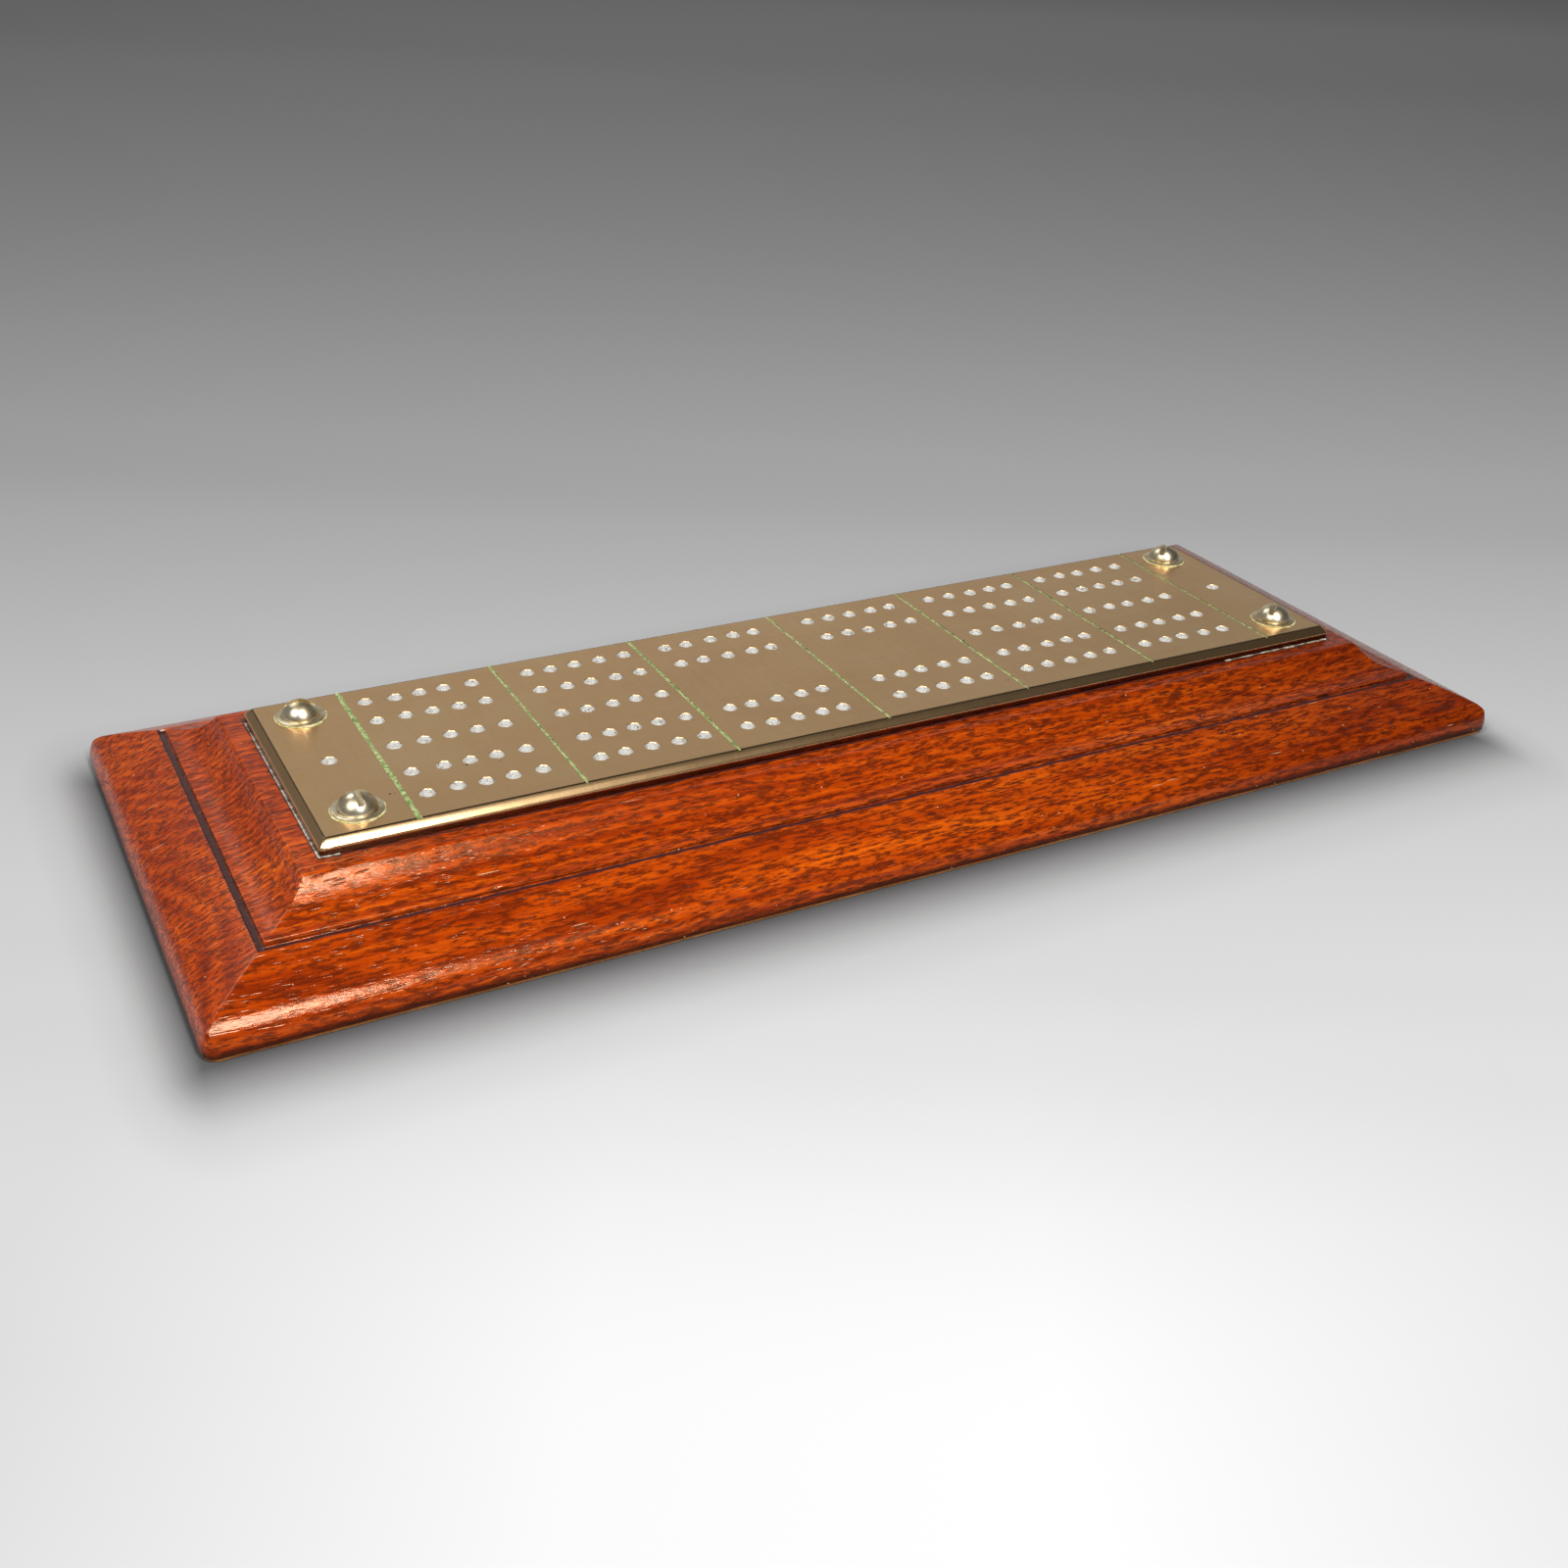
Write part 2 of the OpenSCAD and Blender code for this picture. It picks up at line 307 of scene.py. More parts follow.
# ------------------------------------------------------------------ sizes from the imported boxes

base_low, base_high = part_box("base_board")
block_low, block_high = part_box("raised_block")
plate_low, plate_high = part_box("brass_plate")
pad_low, pad_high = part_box("base_pad")
NOSE_R = 6 * MM            # the base board's round nose
BASE_SLOPE = math.radians(22)   # its top slopes from the quirk down to the nose
BASE_CROWN = 0.2 * MM      # how much that slope is rounded up in its middle
QUIRK_W = 1.4 * MM         # the quirk round the raised block's foot
QUIRK_DEPTH = 0.5 * MM
FOOT_H = 0.9 * MM          # upright foot under the cove
FOOT_FLAT = 0.6 * MM       # small flat on top of the foot
COVE_RUN = 9.4 * MM
COVE_R = 12 * MM
PLATE_BEVEL = 1.6 * MM
WORN_CORNER_R = 5 * MM
LINE_DEPTH = 0.3 * MM      # lines ruled across the plate
PEG_R = 1.7 * MM
PEG_DEPTH = 6 * MM         # depth of a peg hole in the wood
SCREW_DOME_H = 3.3 * MM
SCREW_SLOT_W = 1.3 * MM
SCREW_SLOT_DEPTH = 1.6 * MM
SCREW_SHANK_R = 2.25 * MM
SCREW_SHANK_L = 6 * MM
SCREW_THREAD_R = 2.1 * MM
SCREW_PITCH = 1.8 * MM
SCREW_POINT_L = 4 * MM
THREAD_DEPTH = 0.62 * MM
THREAD_RIDGE = 0.28        # half of a ridge's width, as a share of the pitch
SLOT_TURNS = {"front_left": -88, "front_right": 32, "back_right": 35, "back_left": -18}
LINE_BEAD_WIDTHS = (1.5, 1.0, 1.1, 0.9, 0.85, 0.7, 0.6)   # verdigris in each ruled line, mm
# Small pits in the plate, in mm from its middle
PLATE_PITS = ((-110.7, -18.5), (-109.8, -18.8), (-86.8, 0.4), (-92.8, -13.1), (-86, -14.3), (-46.2, 23.8),
              (35, -24.6), (37.4, -1.7))
# Knocks in the boards: place in metres, radius and depth in mm
BASE_KNOCKS = (((-0.1578, 0.0437, 0.0045), 2.4, 0.8), ((-0.157, 0.010, 0.006), 1.5, 0.3),
               ((0.1163, -0.0566, 0.0078), 1.3, 0.25), ((-0.0393, -0.0593, 0.0066), 1.5, 0.3),
               ((-0.0071, -0.0608, 0.0052), 1.6, 0.3), ((0.082, -0.0608, 0.0052), 1.4, 0.25),
               ((-0.120, -0.0615, 0.0022), 2.2, 0.4))
BLOCK_KNOCKS = (((-0.129, -0.0362, 0.0187), 1.6, 0.25), ((0.02, -0.0355, 0.0187), 2.0, 0.2),
                ((-0.1335, -0.028, 0.0187), 1.5, 0.2))

# ------------------------------------------------------------------ rings, lofts and finishing

LONG_STEPS = 120     # points along a long side
SHORT_STEPS = 46     # points along a short side
CORNER_STEPS = 6     # steps round a corner


def ring(half_x, half_y, radii, z):
    """Points round a rectangle, anticlockwise from its front right corner. Each corner has its radius."""
    arcs = []
    for i, (side_x, side_y) in enumerate(((1, -1), (1, 1), (-1, 1), (-1, -1))):
        radius = radii[i]
        centre = Vector((side_x * (half_x - radius), side_y * (half_y - radius), z))
        turns = [math.radians(90 * (i - 1 + k / CORNER_STEPS)) for k in range(CORNER_STEPS + 1)]
        arcs.append([centre + radius * Vector((math.cos(t), math.sin(t), 0)) for t in turns])
    points = []
    for i, arc in enumerate(arcs):
        following = arcs[(i + 1) % 4][0]
        steps = LONG_STEPS if i % 2 else SHORT_STEPS
        points += arc
        points += [arc[-1].lerp(following, k / steps) for k in range(1, steps)]
    return points


def made_object(name, made):
    """An object from a finished bmesh, with its faces turned outwards."""
    bmesh.ops.recalc_face_normals(made, faces=made.faces)
    mesh = bpy.data.meshes.new(name)
    made.to_mesh(mesh)
    made.free()
    return add_object(name, mesh)


def cap(made, row):
    """Closes a ring with a grid of small faces, so that drilling it leaves tidy faces."""
    half = CORNER_STEPS // 2
    right = half
    back = right + CORNER_STEPS + SHORT_STEPS
    left = back + CORNER_STEPS + LONG_STEPS
    front = left + CORNER_STEPS + SHORT_STEPS
    across, along = back - right, left - back
    front_side = [row[(front + i) % len(row)] for i in range(along + 1)]
    back_side = [row[left - i] for i in range(along + 1)]
    left_side = [row[front - j] for j in range(across + 1)]
    right_side = [row[right + j] for j in range(across + 1)]
    grid = [front_side]
    for j in range(1, across):
        v = j / across
        line = [left_side[j]]
        for i in range(1, along):
            u = i / along
            sides = (1 - v) * front_side[i].co + v * back_side[i].co + (1 - u) * left_side[j].co
            front_place = front_side[0].co.lerp(front_side[-1].co, u)
            back_place = back_side[0].co.lerp(back_side[-1].co, u)
            corners = (1 - v) * front_place + v * back_place
            line.append(made.verts.new(sides + u * right_side[j].co - corners))
        grid.append(line + [right_side[j]])
    grid.append(back_side)
    for near, far in zip(grid, grid[1:]):
        for i in range(along):
            made.faces.new((near[i], near[i + 1], far[i + 1], far[i]))


def loft(name, rings):
    """A closed piece through a stack of rings, from the bottom up."""
    made = bmesh.new()
    rows = [[made.verts.new(point) for point in points] for points in rings]
    for low, high in zip(rows, rows[1:]):
        for i in range(len(low)):
            j = (i + 1) % len(low)
            made.faces.new((low[i], low[j], high[j], high[i]))
    cap(made, rows[0])
    cap(made, rows[-1])
    return made_object(name, made)


def board(name, half_x, half_y, profile):
    """A board with one edge all round: (inset, height, corner radii) from the bottom up."""
    return loft(name, [ring(half_x - inset, half_y - inset, radii, z) for inset, z, radii in profile])


def sink(piece, depth, size, seed, floor_z):
    """Hand-worked unevenness: soft hollows about size across, up to depth deep, above floor_z."""
    normals = [v.normal.copy() for v in piece.data.vertices]
    for vertex, normal in zip(piece.data.vertices, normals):
        if vertex.co.z > floor_z:
            hollow = 0.5 + 0.5 * noise.noise(vertex.co / size + Vector((seed, seed, 0)))
            vertex.co -= normal * depth * hollow


def dent(piece, place, radius, depth):
    """A knock in a piece, pressed in towards its middle."""
    middle = Vector((place[0] * 0.9, place[1] * 0.8, 0))
    for vertex in piece.data.vertices:
        away = (vertex.co - Vector(place)).length / radius
        if away < 1:
            vertex.co += (middle - vertex.co).normalized() * depth * (1 - away * away) ** 2


def set_inputs(modifier, values):
    """Sets a Geometry Nodes modifier's inputs, found by name and set by identifier."""
    for item in modifier.node_group.interface.items_tree:
        if item.item_type == "SOCKET" and item.in_out == "INPUT" and item.name in values:
            modifier[item.identifier] = values[item.name]


def plain(piece):
    """Turns a piece with its modifiers into a plain mesh."""
    evaluated = piece.evaluated_get(bpy.context.evaluated_depsgraph_get())
    mesh = bpy.data.meshes.new_from_object(evaluated)
    piece.modifiers.clear()
    piece.data = mesh


def smooth(piece, angle):
    """Smooth shading that keeps edges sharper than the angle and leaves flat faces flat."""
    piece.data.shade_smooth()
    piece.data.set_sharp_from_angle(angle=math.radians(angle))
    even = piece.modifiers.new("even normals", "WEIGHTED_NORMAL")
    even.keep_sharp = True
    even.weight = 80
    plain(piece)


def mend(piece):
    """Joins points that lie on one another and closes the slits that cutting leaves."""
    mesh = bmesh.new()
    mesh.from_mesh(piece.data)
    bmesh.ops.remove_doubles(mesh, verts=mesh.verts, dist=SAME_PLACE)
    bmesh.ops.dissolve_degenerate(mesh, edges=mesh.edges, dist=SAME_PLACE)
    slits = [edge for edge in mesh.edges if edge.is_boundary]
    bmesh.ops.holes_fill(mesh, edges=slits, sides=8)
    mesh.to_mesh(piece.data)
    mesh.free()


def keep(piece, slot, *nodes):
    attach(piece, "root")
    if nodes:
        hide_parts(*nodes)


# ------------------------------------------------------------------ what the plate's drilling says


RIM_STEP = 0.8 * MM          # farthest apart that two points next to each other on a hole's rim are
FEWEST_RIM_POINTS = 12


def hole_circles(node, z):
    """(centre, radius) of each round hole of a CAD node at height z."""
    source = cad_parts[node]
    points = {tuple(round(c, 6) for c in source.matrix_world @ v.co) for v in source.data.vertices}
    points = sorted(p for p in points if abs(p[2] - z) < SAME_HEIGHT)
    tree = kdtree.KDTree(len(points))
    for i, point in enumerate(points):
        tree.insert(point, i)
    tree.balance()
    left = set(range(len(points)))
    circles = []
    while left:
        group, edge = [], [left.pop()]
        while edge:
            current = edge.pop()
            group.append(Vector(points[current]))
            near = {found[1] for found in tree.find_range(points[current], RIM_STEP)} & left
            left -= near
            edge += near
        if len(group) > FEWEST_RIM_POINTS:
            centre = sum(group, Vector()) / len(group)
            circles.append((centre, (group[0] - centre).length))
    return circles


def ruled_line_places():
    """x of the middle of each ruled line, from the floors of the lines in the plate."""
    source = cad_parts["brass_plate"]
    floor_z = plate_high.z - LINE_DEPTH
    edges = {round((source.matrix_world @ v.co).x, 5) for v in source.data.vertices
             if abs((source.matrix_world @ v.co).z - floor_z) < SAME_HEIGHT}
    edges = sorted(edges)
    return [(a + b) / 2 for a, b in zip(edges[::2], edges[1::2])]


plate_holes = hole_circles("brass_plate", plate_low.z)
peg_places = [centre for centre, radius in plate_holes if abs(radius - PEG_R) < 0.1 * MM]
screw_places = [centre for centre, radius in plate_holes if radius > PEG_R + 0.3 * MM]
line_places = ruled_line_places()

# ------------------------------------------------------------------ node trees that repeat things


def new_group(name, result, inputs):
    """A Geometry Nodes tree with these inputs, as name and kind, and one result."""
    tree = bpy.data.node_groups.new(name, "GeometryNodeTree")
    for title, kind in inputs.items():
        tree.interface.new_socket(title, in_out="INPUT", socket_type="NodeSocket" + kind)
    tree.interface.new_socket(result, in_out="OUTPUT", socket_type="NodeSocketGeometry")
    return tree


def drill_tree():
    """Cuts a drill bit's shape out of the piece at every hole centre."""
    tree = new_group("drill holes", "Drilled", {
        "Blank": "Geometry", "Hole centres": "Object", "Drill bit": "Object", "Size variation": "Float",
        "Least turn": "Float", "Most turn": "Float", "Seed": "Int", "Material": "Material"})
    nodes, links = tree.nodes, tree.links
    given = nodes.new("NodeGroupInput")
    given.label = "Blank and its holes"
    result = nodes.new("NodeGroupOutput")
    result.label = "Drilled piece"
    centres = nodes.new("GeometryNodeObjectInfo")
    centres.label = "Hole centres"
    bit = nodes.new("GeometryNodeObjectInfo")
    bit.label = "Drill bit"
    turn = nodes.new("FunctionNodeRandomValue")
    turn.label = "Turn of each hole"
    turn.data_type = "FLOAT"
    turn_axis = nodes.new("ShaderNodeCombineXYZ")
    turn_axis.label = "About the hole's axis"
    least = nodes.new("ShaderNodeMath")
    least.label = "Smallest size"
    least.operation = "SUBTRACT"
    set_values(least, {0: 1})
    size = nodes.new("FunctionNodeRandomValue")
    size.label = "Size of each hole"
    size.data_type = "FLOAT"
    set_values(size, {3: 1})
    size_axes = nodes.new("ShaderNodeCombineXYZ")
    size_axes.label = "Across the hole only"
    set_values(size_axes, {"Z": 1})
    place = nodes.new("GeometryNodeInstanceOnPoints")
    place.label = "A bit at each centre"
    real = nodes.new("GeometryNodeRealizeInstances")
    real.label = "Real bits"
    cut = nodes.new("GeometryNodeMeshBoolean")
    cut.label = "Drill"
    cut.operation = "DIFFERENCE"
    cut.solver = "EXACT"
    finish = nodes.new("GeometryNodeSetMaterial")
    finish.label = "Finish"
    whole = nodes.new("GeometryNodeRealizeInstances")
    whole.label = "One plain piece"
    links.new(given.outputs["Hole centres"], centres.inputs["Object"])
    links.new(given.outputs["Drill bit"], bit.inputs["Object"])
    links.new(given.outputs["Seed"], turn.inputs["Seed"])
    links.new(given.outputs["Least turn"], turn.inputs[2])
    links.new(given.outputs["Most turn"], turn.inputs[3])
    links.new(given.outputs["Seed"], size.inputs["Seed"])
    links.new(given.outputs["Size variation"], least.inputs[1])
    links.new(least.outputs["Value"], size.inputs[2])
    links.new(size.outputs[1], size_axes.inputs["X"])
    links.new(size.outputs[1], size_axes.inputs["Y"])
    links.new(turn.outputs[1], turn_axis.inputs["Z"])
    links.new(centres.outputs["Geometry"], place.inputs["Points"])
    links.new(bit.outputs["Geometry"], place.inputs["Instance"])
    links.new(turn_axis.outputs["Vector"], place.inputs["Rotation"])
    links.new(size_axes.outputs["Vector"], place.inputs["Scale"])
    links.new(place.outputs["Instances"], real.inputs["Geometry"])
    links.new(given.outputs["Blank"], cut.inputs["Mesh 1"])
    links.new(real.outputs["Geometry"], cut.inputs["Mesh 2"])
    links.new(cut.outputs["Mesh"], whole.inputs["Geometry"])
    links.new(whole.outputs["Geometry"], finish.inputs["Geometry"])
    links.new(given.outputs["Material"], finish.inputs["Material"])
    links.new(finish.outputs["Geometry"], result.inputs["Drilled"])
    lay_out(tree, (("Given", (given,)), ("Bits", (centres, bit, turn, turn_axis, least, size, size_axes)),
                   ("Place", (place, real)), ("Cut and finish", (cut, whole, finish, result))))
    return tree


def residue_tree():
    """A low uneven bead of dried polish or verdigris along every edge of a wire."""
    tree = new_group("residue bead", "Bead", {
        "Wire": "Geometry", "Width": "Float", "Flatness": "Float", "Thinnest": "Float",
        "Lump size": "Float", "Wander": "Float", "Seed": "Float", "Material": "Material"})
    nodes, links = tree.nodes, tree.links
    given = nodes.new("NodeGroupInput")
    given.label = "Wire and bead sizes"
    result = nodes.new("NodeGroupOutput")
    result.label = "Bead"
    path = nodes.new("GeometryNodeMeshToCurve")
    path.label = "Wire as a path"
    steps = nodes.new("GeometryNodeResampleCurve")
    steps.label = "Even steps"
    steps.mode = "LENGTH"
    set_values(steps, {"Length": 0.3 * MM})
    per_lump = nodes.new("ShaderNodeMath")
    per_lump.label = "Lumps in a metre"
    per_lump.operation = "DIVIDE"
    set_values(per_lump, {0: 1})
    lumps = nodes.new("ShaderNodeTexNoise")
    lumps.label = "Thick and thin stretches"
    lumps.noise_dimensions = "4D"
    set_values(lumps, {"Detail": 3})
    thickness = nodes.new("ShaderNodeMapRange")
    thickness.label = "Bead radius along the path"
    set_values(thickness, {"From Min": 0.35, "From Max": 0.65})
    radius = nodes.new("ShaderNodeMath")
    radius.label = "Half the width"
    radius.operation = "MULTIPLY"
    set_values(radius, {1: 0.5})
    drift = nodes.new("ShaderNodeVectorMath")
    drift.label = "Centre the drift"
    drift.operation = "SUBTRACT"
    set_values(drift, {1: (0.5, 0.5, 0.5)})
    drift_size = nodes.new("ShaderNodeVectorMath")
    drift_size.label = "Size of the drift"
    drift_size.operation = "SCALE"
    drift_flat = nodes.new("ShaderNodeVectorMath")
    drift_flat.label = "Drift on the surface only"
    drift_flat.operation = "MULTIPLY"
    set_values(drift_flat, {1: (1, 1, 0)})
    wander = nodes.new("GeometryNodeSetPosition")
    wander.label = "Wander off the line"
    upright = nodes.new("GeometryNodeSetCurveNormal")
    upright.label = "Keep the bead upright"
    upright.mode = "Z_UP"
    outline = nodes.new("GeometryNodeCurvePrimitiveCircle")
    outline.label = "Bead outline"
    set_values(outline, {"Resolution": 8})
    flat_scale = nodes.new("ShaderNodeCombineXYZ")
    flat_scale.label = "Low and wide"
    set_values(flat_scale, {"X": 1, "Z": 1})
    squash = nodes.new("GeometryNodeTransform")
    squash.label = "Flatten the outline"
    sweep = nodes.new("GeometryNodeCurveToMesh")
    sweep.label = "Sweep the bead"
    set_values(sweep, {"Fill Caps": True})
    whole = nodes.new("GeometryNodeRealizeInstances")
    whole.label = "One plain piece"
    finish = nodes.new("GeometryNodeSetMaterial")
    finish.label = "Finish"
    links.new(given.outputs["Wire"], path.inputs["Mesh"])
    links.new(path.outputs["Curve"], steps.inputs["Curve"])
    links.new(given.outputs["Lump size"], per_lump.inputs[1])
    links.new(per_lump.outputs["Value"], lumps.inputs["Scale"])
    links.new(given.outputs["Seed"], lumps.inputs["W"])
    links.new(lumps.outputs["Fac"], thickness.inputs["Value"])
    links.new(given.outputs["Thinnest"], thickness.inputs["To Min"])
    links.new(given.outputs["Width"], radius.inputs[0])
    links.new(lumps.outputs["Color"], drift.inputs[0])
    links.new(drift.outputs["Vector"], drift_size.inputs[0])
    links.new(given.outputs["Wander"], drift_size.inputs["Scale"])
    links.new(drift_size.outputs["Vector"], drift_flat.inputs[0])
    links.new(steps.outputs["Curve"], wander.inputs["Geometry"])
    links.new(thickness.outputs["Result"], sweep.inputs["Scale"])
    links.new(drift_flat.outputs["Vector"], wander.inputs["Offset"])
    links.new(wander.outputs["Geometry"], upright.inputs["Curve"])
    links.new(radius.outputs["Value"], outline.inputs["Radius"])
    links.new(given.outputs["Flatness"], flat_scale.inputs["Y"])
    links.new(outline.outputs["Curve"], squash.inputs["Geometry"])
    links.new(flat_scale.outputs["Vector"], squash.inputs["Scale"])
    links.new(upright.outputs["Curve"], sweep.inputs["Curve"])
    links.new(squash.outputs["Geometry"], sweep.inputs["Profile Curve"])
    links.new(sweep.outputs["Mesh"], whole.inputs["Geometry"])
    links.new(whole.outputs["Geometry"], finish.inputs["Geometry"])
    links.new(given.outputs["Material"], finish.inputs["Material"])
    links.new(finish.outputs["Geometry"], result.inputs["Bead"])
    lay_out(tree, (("Path", (given, path, steps, per_lump, lumps)), ("Thickness", (thickness, radius)),
                   ("Drift", (drift, drift_size, drift_flat, wander, upright)),
                   ("Outline", (outline, flat_scale, squash)), ("Bead", (sweep, whole, finish, result))))
    return tree


DRILL = drill_tree()
RESIDUE = residue_tree()


def points_object(name, places):
    mesh = bpy.data.meshes.new(name)
    mesh.from_pydata([tuple(place) for place in places], [], [])
    return add_object(name, mesh)


def turned(name, outline, steps):
    """A piece turned on a lathe about the z axis, from (radius, height) points; a radius of 0 is a pole."""
    made = bmesh.new()
    rows = []
    for radius, z in outline:
        if radius == 0:
            rows.append([made.verts.new((0, 0, z))])
        else:
            turns = [math.tau * k / steps for k in range(steps)]
            rows.append([made.verts.new((radius * math.cos(t), radius * math.sin(t), z)) for t in turns])
    for low, high in zip(rows, rows[1:]):
        for i in range(steps):
            j = (i + 1) % steps
            corners = [low[i % len(low)], low[j % len(low)], high[j % len(high)], high[i % len(high)]]
            corners = list(dict.fromkeys(corners))
            if len(corners) > 2:
                made.faces.new(corners)
    bmesh.ops.remove_doubles(made, verts=made.verts, dist=SAME_PLACE)
    return made_object(name, made)


def slab(name, half_sizes, top_z):
    """A straight cutter: half its length and width across, and its depth below top_z."""
    half_x, half_y, depth = half_sizes
    above = 2 * MM
    made = bmesh.new()
    rows = [[made.verts.new((x * half_x, y * half_y, z)) for x, y in ((-1, -1), (1, -1), (1, 1), (-1, 1))]
            for z in (top_z - depth, top_z + above)]
    made.faces.new(rows[0])
    made.faces.new(rows[1])
    for i in range(4):
        j = (i + 1) % 4
        made.faces.new((rows[0][i], rows[0][j], rows[1][j], rows[1][i]))
    return made_object(name, made)


def cut_with(piece, cutter, centres, material, variation=0, seed=0, turns=(0, 0)):
    """Cuts the cutter's shape out of the piece at each centre, then throws the cutter away."""
    for part in (piece, cutter):
        part.data.materials.clear()
        part.data.materials.append(material)
    marks = points_object("marks", [(p.x, p.y, 0) for p in centres])
    modifier = piece.modifiers.new("cut", "NODES")
    modifier.node_group = DRILL
    set_inputs(modifier, {"Hole centres": marks, "Drill bit": cutter, "Size variation": float(variation),
                          "Least turn": float(turns[0]), "Most turn": float(turns[1]), "Seed": seed,
                          "Material": material})
    plain(piece)
    bpy.data.objects.remove(cutter)
    bpy.data.objects.remove(marks)


def drill(piece, centres, bit_outline, material, variation=0, seed=0, steps=24):
    """Drills the piece at the centres with a bit of that outline."""
    cut_with(piece, turned("bit", bit_outline, steps), centres, material, variation, seed, (0, math.tau))


# ------------------------------------------------------------------ materials

def mahogany(name, rim, rim_band, shaded_below, shift):
    """Polished mahogany with its grain along x. Dark wax, with painted shade and a painted violet sheen,
    darkens a band just outside the rim rectangle; painted shade darkens its lowest edge and, with a deeper
    wood colour, its right end.
    """
    material, polish, output = new_material(name, "French polish over the wood", "Wood surface")
    tree = material.node_tree
    nodes, links = tree.nodes, tree.links
    # Where on the board
    place = nodes.new("ShaderNodeTexCoord")
    place.label = "Place on the board"
    apart = nodes.new("ShaderNodeSeparateXYZ")
    apart.label = "Along, across and up"
    sway_stretch = nodes.new("ShaderNodeMapping")
    sway_stretch.label = "Long slow sway"
    set_values(sway_stretch, {"Location": (shift, shift, 0), "Scale": (9, 22, 22)})
    sway = nodes.new("ShaderNodeTexNoise")
    sway.label = "Sway of the grain"
    set_values(sway, {"Scale": 1, "Detail": 2})
    sway_centre = nodes.new("ShaderNodeVectorMath")
    sway_centre.label = "Centre the sway"
    sway_centre.operation = "SUBTRACT"
    set_values(sway_centre, {1: (0.5, 0.5, 0.5)})
    sway_size = nodes.new("ShaderNodeVectorMath")
    sway_size.label = "Size of the sway"
    sway_size.operation = "MULTIPLY"
    set_values(sway_size, {1: (0.004, 0.007, 0.007)})
    grain_place = nodes.new("ShaderNodeVectorMath")
    grain_place.label = "Place along the grain"
    grain_place.operation = "ADD"
    # Figure
    heart_place = nodes.new("ShaderNodeMapping")
    heart_place.label = "From the tree's heart"
    set_values(heart_place, {"Location": (0, 0.035 + shift, 0.11)})
    bands = nodes.new("ShaderNodeTexWave")
    bands.label = "Growth bands"
    bands.wave_type = "RINGS"
    bands.rings_direction = "X"
    set_values(bands, {"Scale": 130, "Distortion": 3.5, "Detail": 3, "Detail Scale": 0.6})
    streak_stretch = nodes.new("ShaderNodeMapping")
    streak_stretch.label = "Streaks run with the grain"
    set_values(streak_stretch, {"Scale": (16, 640, 640)})
    streaks = nodes.new("ShaderNodeTexNoise")
    streaks.label = "Light and dark streaks"
    set_values(streaks, {"Scale": 1, "Detail": 7, "Roughness": 0.78})
    ribbon_stretch = nodes.new("ShaderNodeMapping")
    ribbon_stretch.label = "Ribbons run with the grain"
    set_values(ribbon_stretch, {"Scale": (9, 60, 60)})
    ribbon = nodes.new("ShaderNodeTexNoise")
    ribbon.label = "Ribbon figure"
    set_values(ribbon, {"Scale": 1, "Detail": 3})
    figure = nodes.new("ShaderNodeMix")
    figure.label = "Bands and streaks"
    set_values(figure, {"Factor": 0.86})
    figured = nodes.new("ShaderNodeMix")
    figured.label = "With the ribbon figure"
    set_values(figured, {"Factor": 0.34})
    tone = nodes.new("ShaderNodeValToRGB")
    tone.label = "Mahogany tones"
    stops = ((0.32, (0.13, 0.010, 0.001)), (0.42, (0.31, 0.028, 0.001)), (0.5, (0.48, 0.053, 0.001)),
             (0.6, (0.64, 0.09, 0.002)), (0.7, (0.82, 0.15, 0.004)))
    set_stops(tone, stops)
    # Fibres and pores
    fibre_stretch = nodes.new("ShaderNodeMapping")
    fibre_stretch.label = "Fibres run with the grain"
    set_values(fibre_stretch, {"Scale": (260, 1150, 1150)})
    fibres = nodes.new("ShaderNodeTexNoise")
    fibres.label = "Fibres"
    set_values(fibres, {"Scale": 1, "Detail": 3, "Roughness": 0.7})
    fibre_dark = nodes.new("ShaderNodeMapRange")
    fibre_dark.label = "Dark fibres"
    set_values(fibre_dark, {"From Min": 0.55, "From Max": 0.41, "To Max": 0.85})
    fibre_color = nodes.new("ShaderNodeMix")
    fibre_color.label = "Fibre colour"
    fibre_color.data_type = "RGBA"
    set_values(fibre_color, {COLOR_B: (0.11, 0.012, 0.002, 1)})
    pore_stretch = nodes.new("ShaderNodeMapping")
    pore_stretch.label = "Pores are long dashes"
    set_values(pore_stretch, {"Scale": (210, 1700, 1700)})
    pores = nodes.new("ShaderNodeTexVoronoi")
    pores.label = "Pores"
    set_values(pores, {"Scale": 1})
    pore_dark = nodes.new("ShaderNodeMapRange")
    pore_dark.label = "Open pores"
    set_values(pore_dark, {"From Min": 0.34, "From Max": 0.14})
    pore_crowd = nodes.new("ShaderNodeMapRange")
    pore_crowd.label = "Pores crowd in the bands"
    set_values(pore_crowd, {"From Min": 0.35, "From Max": 0.6, "To Min": 0.25})
    pore_mask = nodes.new("ShaderNodeMath")
    pore_mask.label = "Pores"
    pore_mask.operation = "MULTIPLY"
    pore_color = nodes.new("ShaderNodeMix")
    pore_color.label = "Dark pores"
    pore_color.data_type = "RGBA"
    set_values(pore_color, {COLOR_B: (0.08, 0.009, 0.002, 1)})
    # Darkening to the right: a deeper red-brown wood, partly painted shade for light falling off to the
    # right
    deeper_shaded_right = nodes.new("ShaderNodeMapRange")
    deeper_shaded_right.label = "Deeper colour towards the right end"
    set_values(deeper_shaded_right, {"From Min": -0.03, "From Max": 0.16, "To Max": 0.85})
    deep_and_shaded_color = nodes.new("ShaderNodeMix")
    deep_and_shaded_color.label = "Deeper red-brown"
    deep_and_shaded_color.data_type = "RGBA"
    deep_and_shaded_color.blend_type = "MULTIPLY"
    set_values(deep_and_shaded_color, {COLOR_B: (0.44, 0.42, 0.6, 1)})
